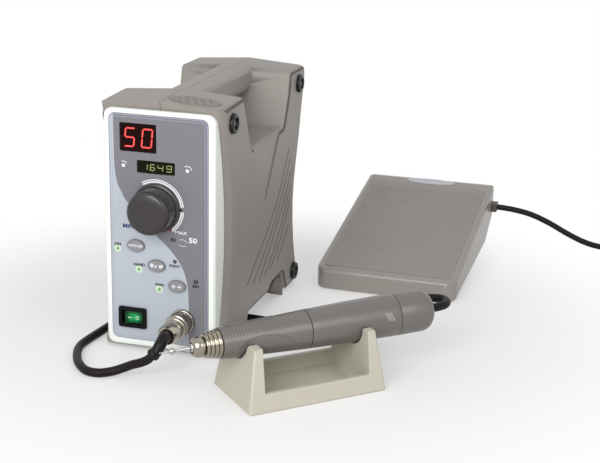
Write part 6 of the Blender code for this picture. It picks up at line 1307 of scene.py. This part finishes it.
slope_rise = PEDAL_TOE_TALL - PEDAL_NOSE_TALL
slope_long = math.hypot(PEDAL_DEPTH, slope_rise)
pedal_slope = Matrix.Translation(on_unit(PEDAL_X, PEDAL_FRONT, PEDAL_NOSE_TALL))
pedal_slope @= Matrix.Rotation(math.atan2(slope_rise, PEDAL_DEPTH), 4, "X")


def pedal_plate(name, outline, low, high, edge):
    """A flat plate on the pedal's slope: its outline is drawn there, extruded, and its rim rounded."""
    piece = flat_mesh(name, [outline], high - low)
    welded(melt=True)
    softened(piece, edge, 3, 50)
    bpy.ops.object.shade_smooth_by_angle(angle=math.radians(50))
    piece.data.transform(pedal_slope @ Matrix.Translation((0, 0, (low + high) / 2)))
    return piece


PLATE_EDGE = 0.0002
BADGE_X = 0.0005
BADGE_REAR = 0.0130
BADGE_HALF_X = 0.0215
BADGE_HALF_Y = 0.0050
BADGE_TALL = 0.0005
badge_outline = oval(BADGE_X, slope_long - BADGE_REAR, BADGE_HALF_X, BADGE_HALF_Y)
badge = pedal_plate("oval_badge", badge_outline, 0.0, BADGE_TALL, PLATE_EDGE)
fitted(badge, printed("badge_finish", (0.50, 0.48, 0.53), 0.38), "pedal_cover", "label_print")


# Pedal mat: a rubber sheet glued in the cover's shallow recess, with fifty fine ribs across it. A smooth
# border runs round the ribs, and a wider plain band lies behind them.

mat_rubber = moulded("mat_rubber", (0.252, 0.238, 0.222), 0.52, spread=0.06, grain=1500)
MAT_START = 0.0055
MAT_REAR = 0.0206
MAT_SIDE = PEDAL_WIDTH / 2 - MAT_START
MAT_END = slope_long - MAT_REAR
MAT_CORNER = 0.0030
MAT_SUNK = 0.0005
MAT_TOP = 0.0006
MAT_BORDER = 0.0022
MAT_REAR_BAND = 0.0060
MAT_RIBS = 50
RIB_EDGE_SHARE = 0.15
RIB_SUNK = 0.0002
RIB_TALL = 0.00022
RIB_SIDE = MAT_SIDE - MAT_BORDER
RIB_CORNER = 0.0004
RIB_EDGE = 0.0001
mat_outline = rounded_box(-MAT_SIDE, MAT_START, MAT_SIDE, MAT_END, MAT_CORNER)
mat = pedal_plate("ribbed_mat", mat_outline, -MAT_SUNK, MAT_TOP, PLATE_EDGE)
fitted(mat, mat_rubber, "pedal_cover", "mat_grey", "pedal_mat")
rib_pitch = (MAT_END - MAT_REAR_BAND - MAT_START - MAT_BORDER * 2) / MAT_RIBS
ribs = []
for index in range(MAT_RIBS):
    start = MAT_START + MAT_BORDER + rib_pitch * (index + RIB_EDGE_SHARE)
    end = start + rib_pitch * (1 - RIB_EDGE_SHARE * 2)
    rib = rounded_box(-RIB_SIDE, start, RIB_SIDE, end, RIB_CORNER, 2)
    ribs.append(pedal_plate("mat_bar", rib, MAT_TOP - RIB_SUNK, MAT_TOP + RIB_TALL, RIB_EDGE))
merged("mat_ribs", ribs, mat_rubber, "pedal_cover", "mat_grey")


# Pedal base: a black tray with the hinge pins and the contact switch. A coiled steel spring on it lifts the
# cover.

base_black = moulded("base_black", (0.020, 0.020, 0.021), 0.45, spread=0.15, grain=1600, relief=0.08)
dressed(base_black, "pedal_base")
spring_steel = plated("spring_steel", (0.52, 0.53, 0.55), 0.28)
spring = reworked("pedal_spring", "return_spring", spring_steel, "unit", "steel", smooth=60)
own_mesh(spring)


# Rear panel: a brushed aluminium plate behind the shells' opening, held by four screws. It carries the mains
# inlet with its three pins, the fuse holder and the pedal's socket.

dressed(plated("panel_metal", (0.58, 0.59, 0.60), 0.34, (1, 1, 30), 260), "rear_panel")
inlet_black = moulded("inlet_black", (0.017, 0.017, 0.018), 0.38, spread=0.1, grain=1700, relief=0.05)
dressed(inlet_black, "mains_inlet", "fuse_holder")
dressed(socket_nickel, "pedal_socket")
screw_steel = plated("screw_steel", (0.45, 0.45, 0.46), 0.30)
SCREW_IN_X = 0.0026
SCREW_IN_Z = 0.0150
SCREW_RINGS = (
    (0.0002, -0.0002), (0.0024, -0.0002), (0.0026, 0.0002), (0.0025, 0.0008), (0.0020, 0.0013),
    (0.0012, 0.0016), (0.0010, 0.0015), (0.0009, 0.0009), (0.0002, 0.0009))
panel_low, panel_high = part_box("rear_panel")
screw_places = [
    (x, panel_high.y, z) for z in (panel_low.z + SCREW_IN_Z, panel_high.z - SCREW_IN_Z)
    for x in (panel_low.x + SCREW_IN_X, panel_high.x - SCREW_IN_X)]
screw_model = ringed("screw_model", SCREW_RINGS, 32)
for index, place in enumerate(screw_places):
    screw = placed("panel_screw_%d" % (index + 1), screw_model.data.copy())
    fitted(laid(screw, place, (0, 1, 0)), screw_steel, "unit", "steel")
bpy.data.objects.remove(screw_model)


# Inside: the front board behind the label, the power board and transformer on their chassis plate, and the
# knob's potentiometer with its shaft.

board_lacquer = moulded("board_lacquer", (0.03, 0.13, 0.05), 0.35, spread=0.15, grain=700, relief=0.03)
dressed(board_lacquer, "front_board", "power_board")
dressed(plated("core_steel", (0.24, 0.22, 0.20), 0.45, (1, 30, 1), 220), "transformer")
dressed(plated("folded_steel", (0.55, 0.56, 0.57), 0.32), "chassis_plate", "potentiometer")
dressed(plated("shaft_metal", (0.60, 0.60, 0.58), 0.28), "knob_shaft")
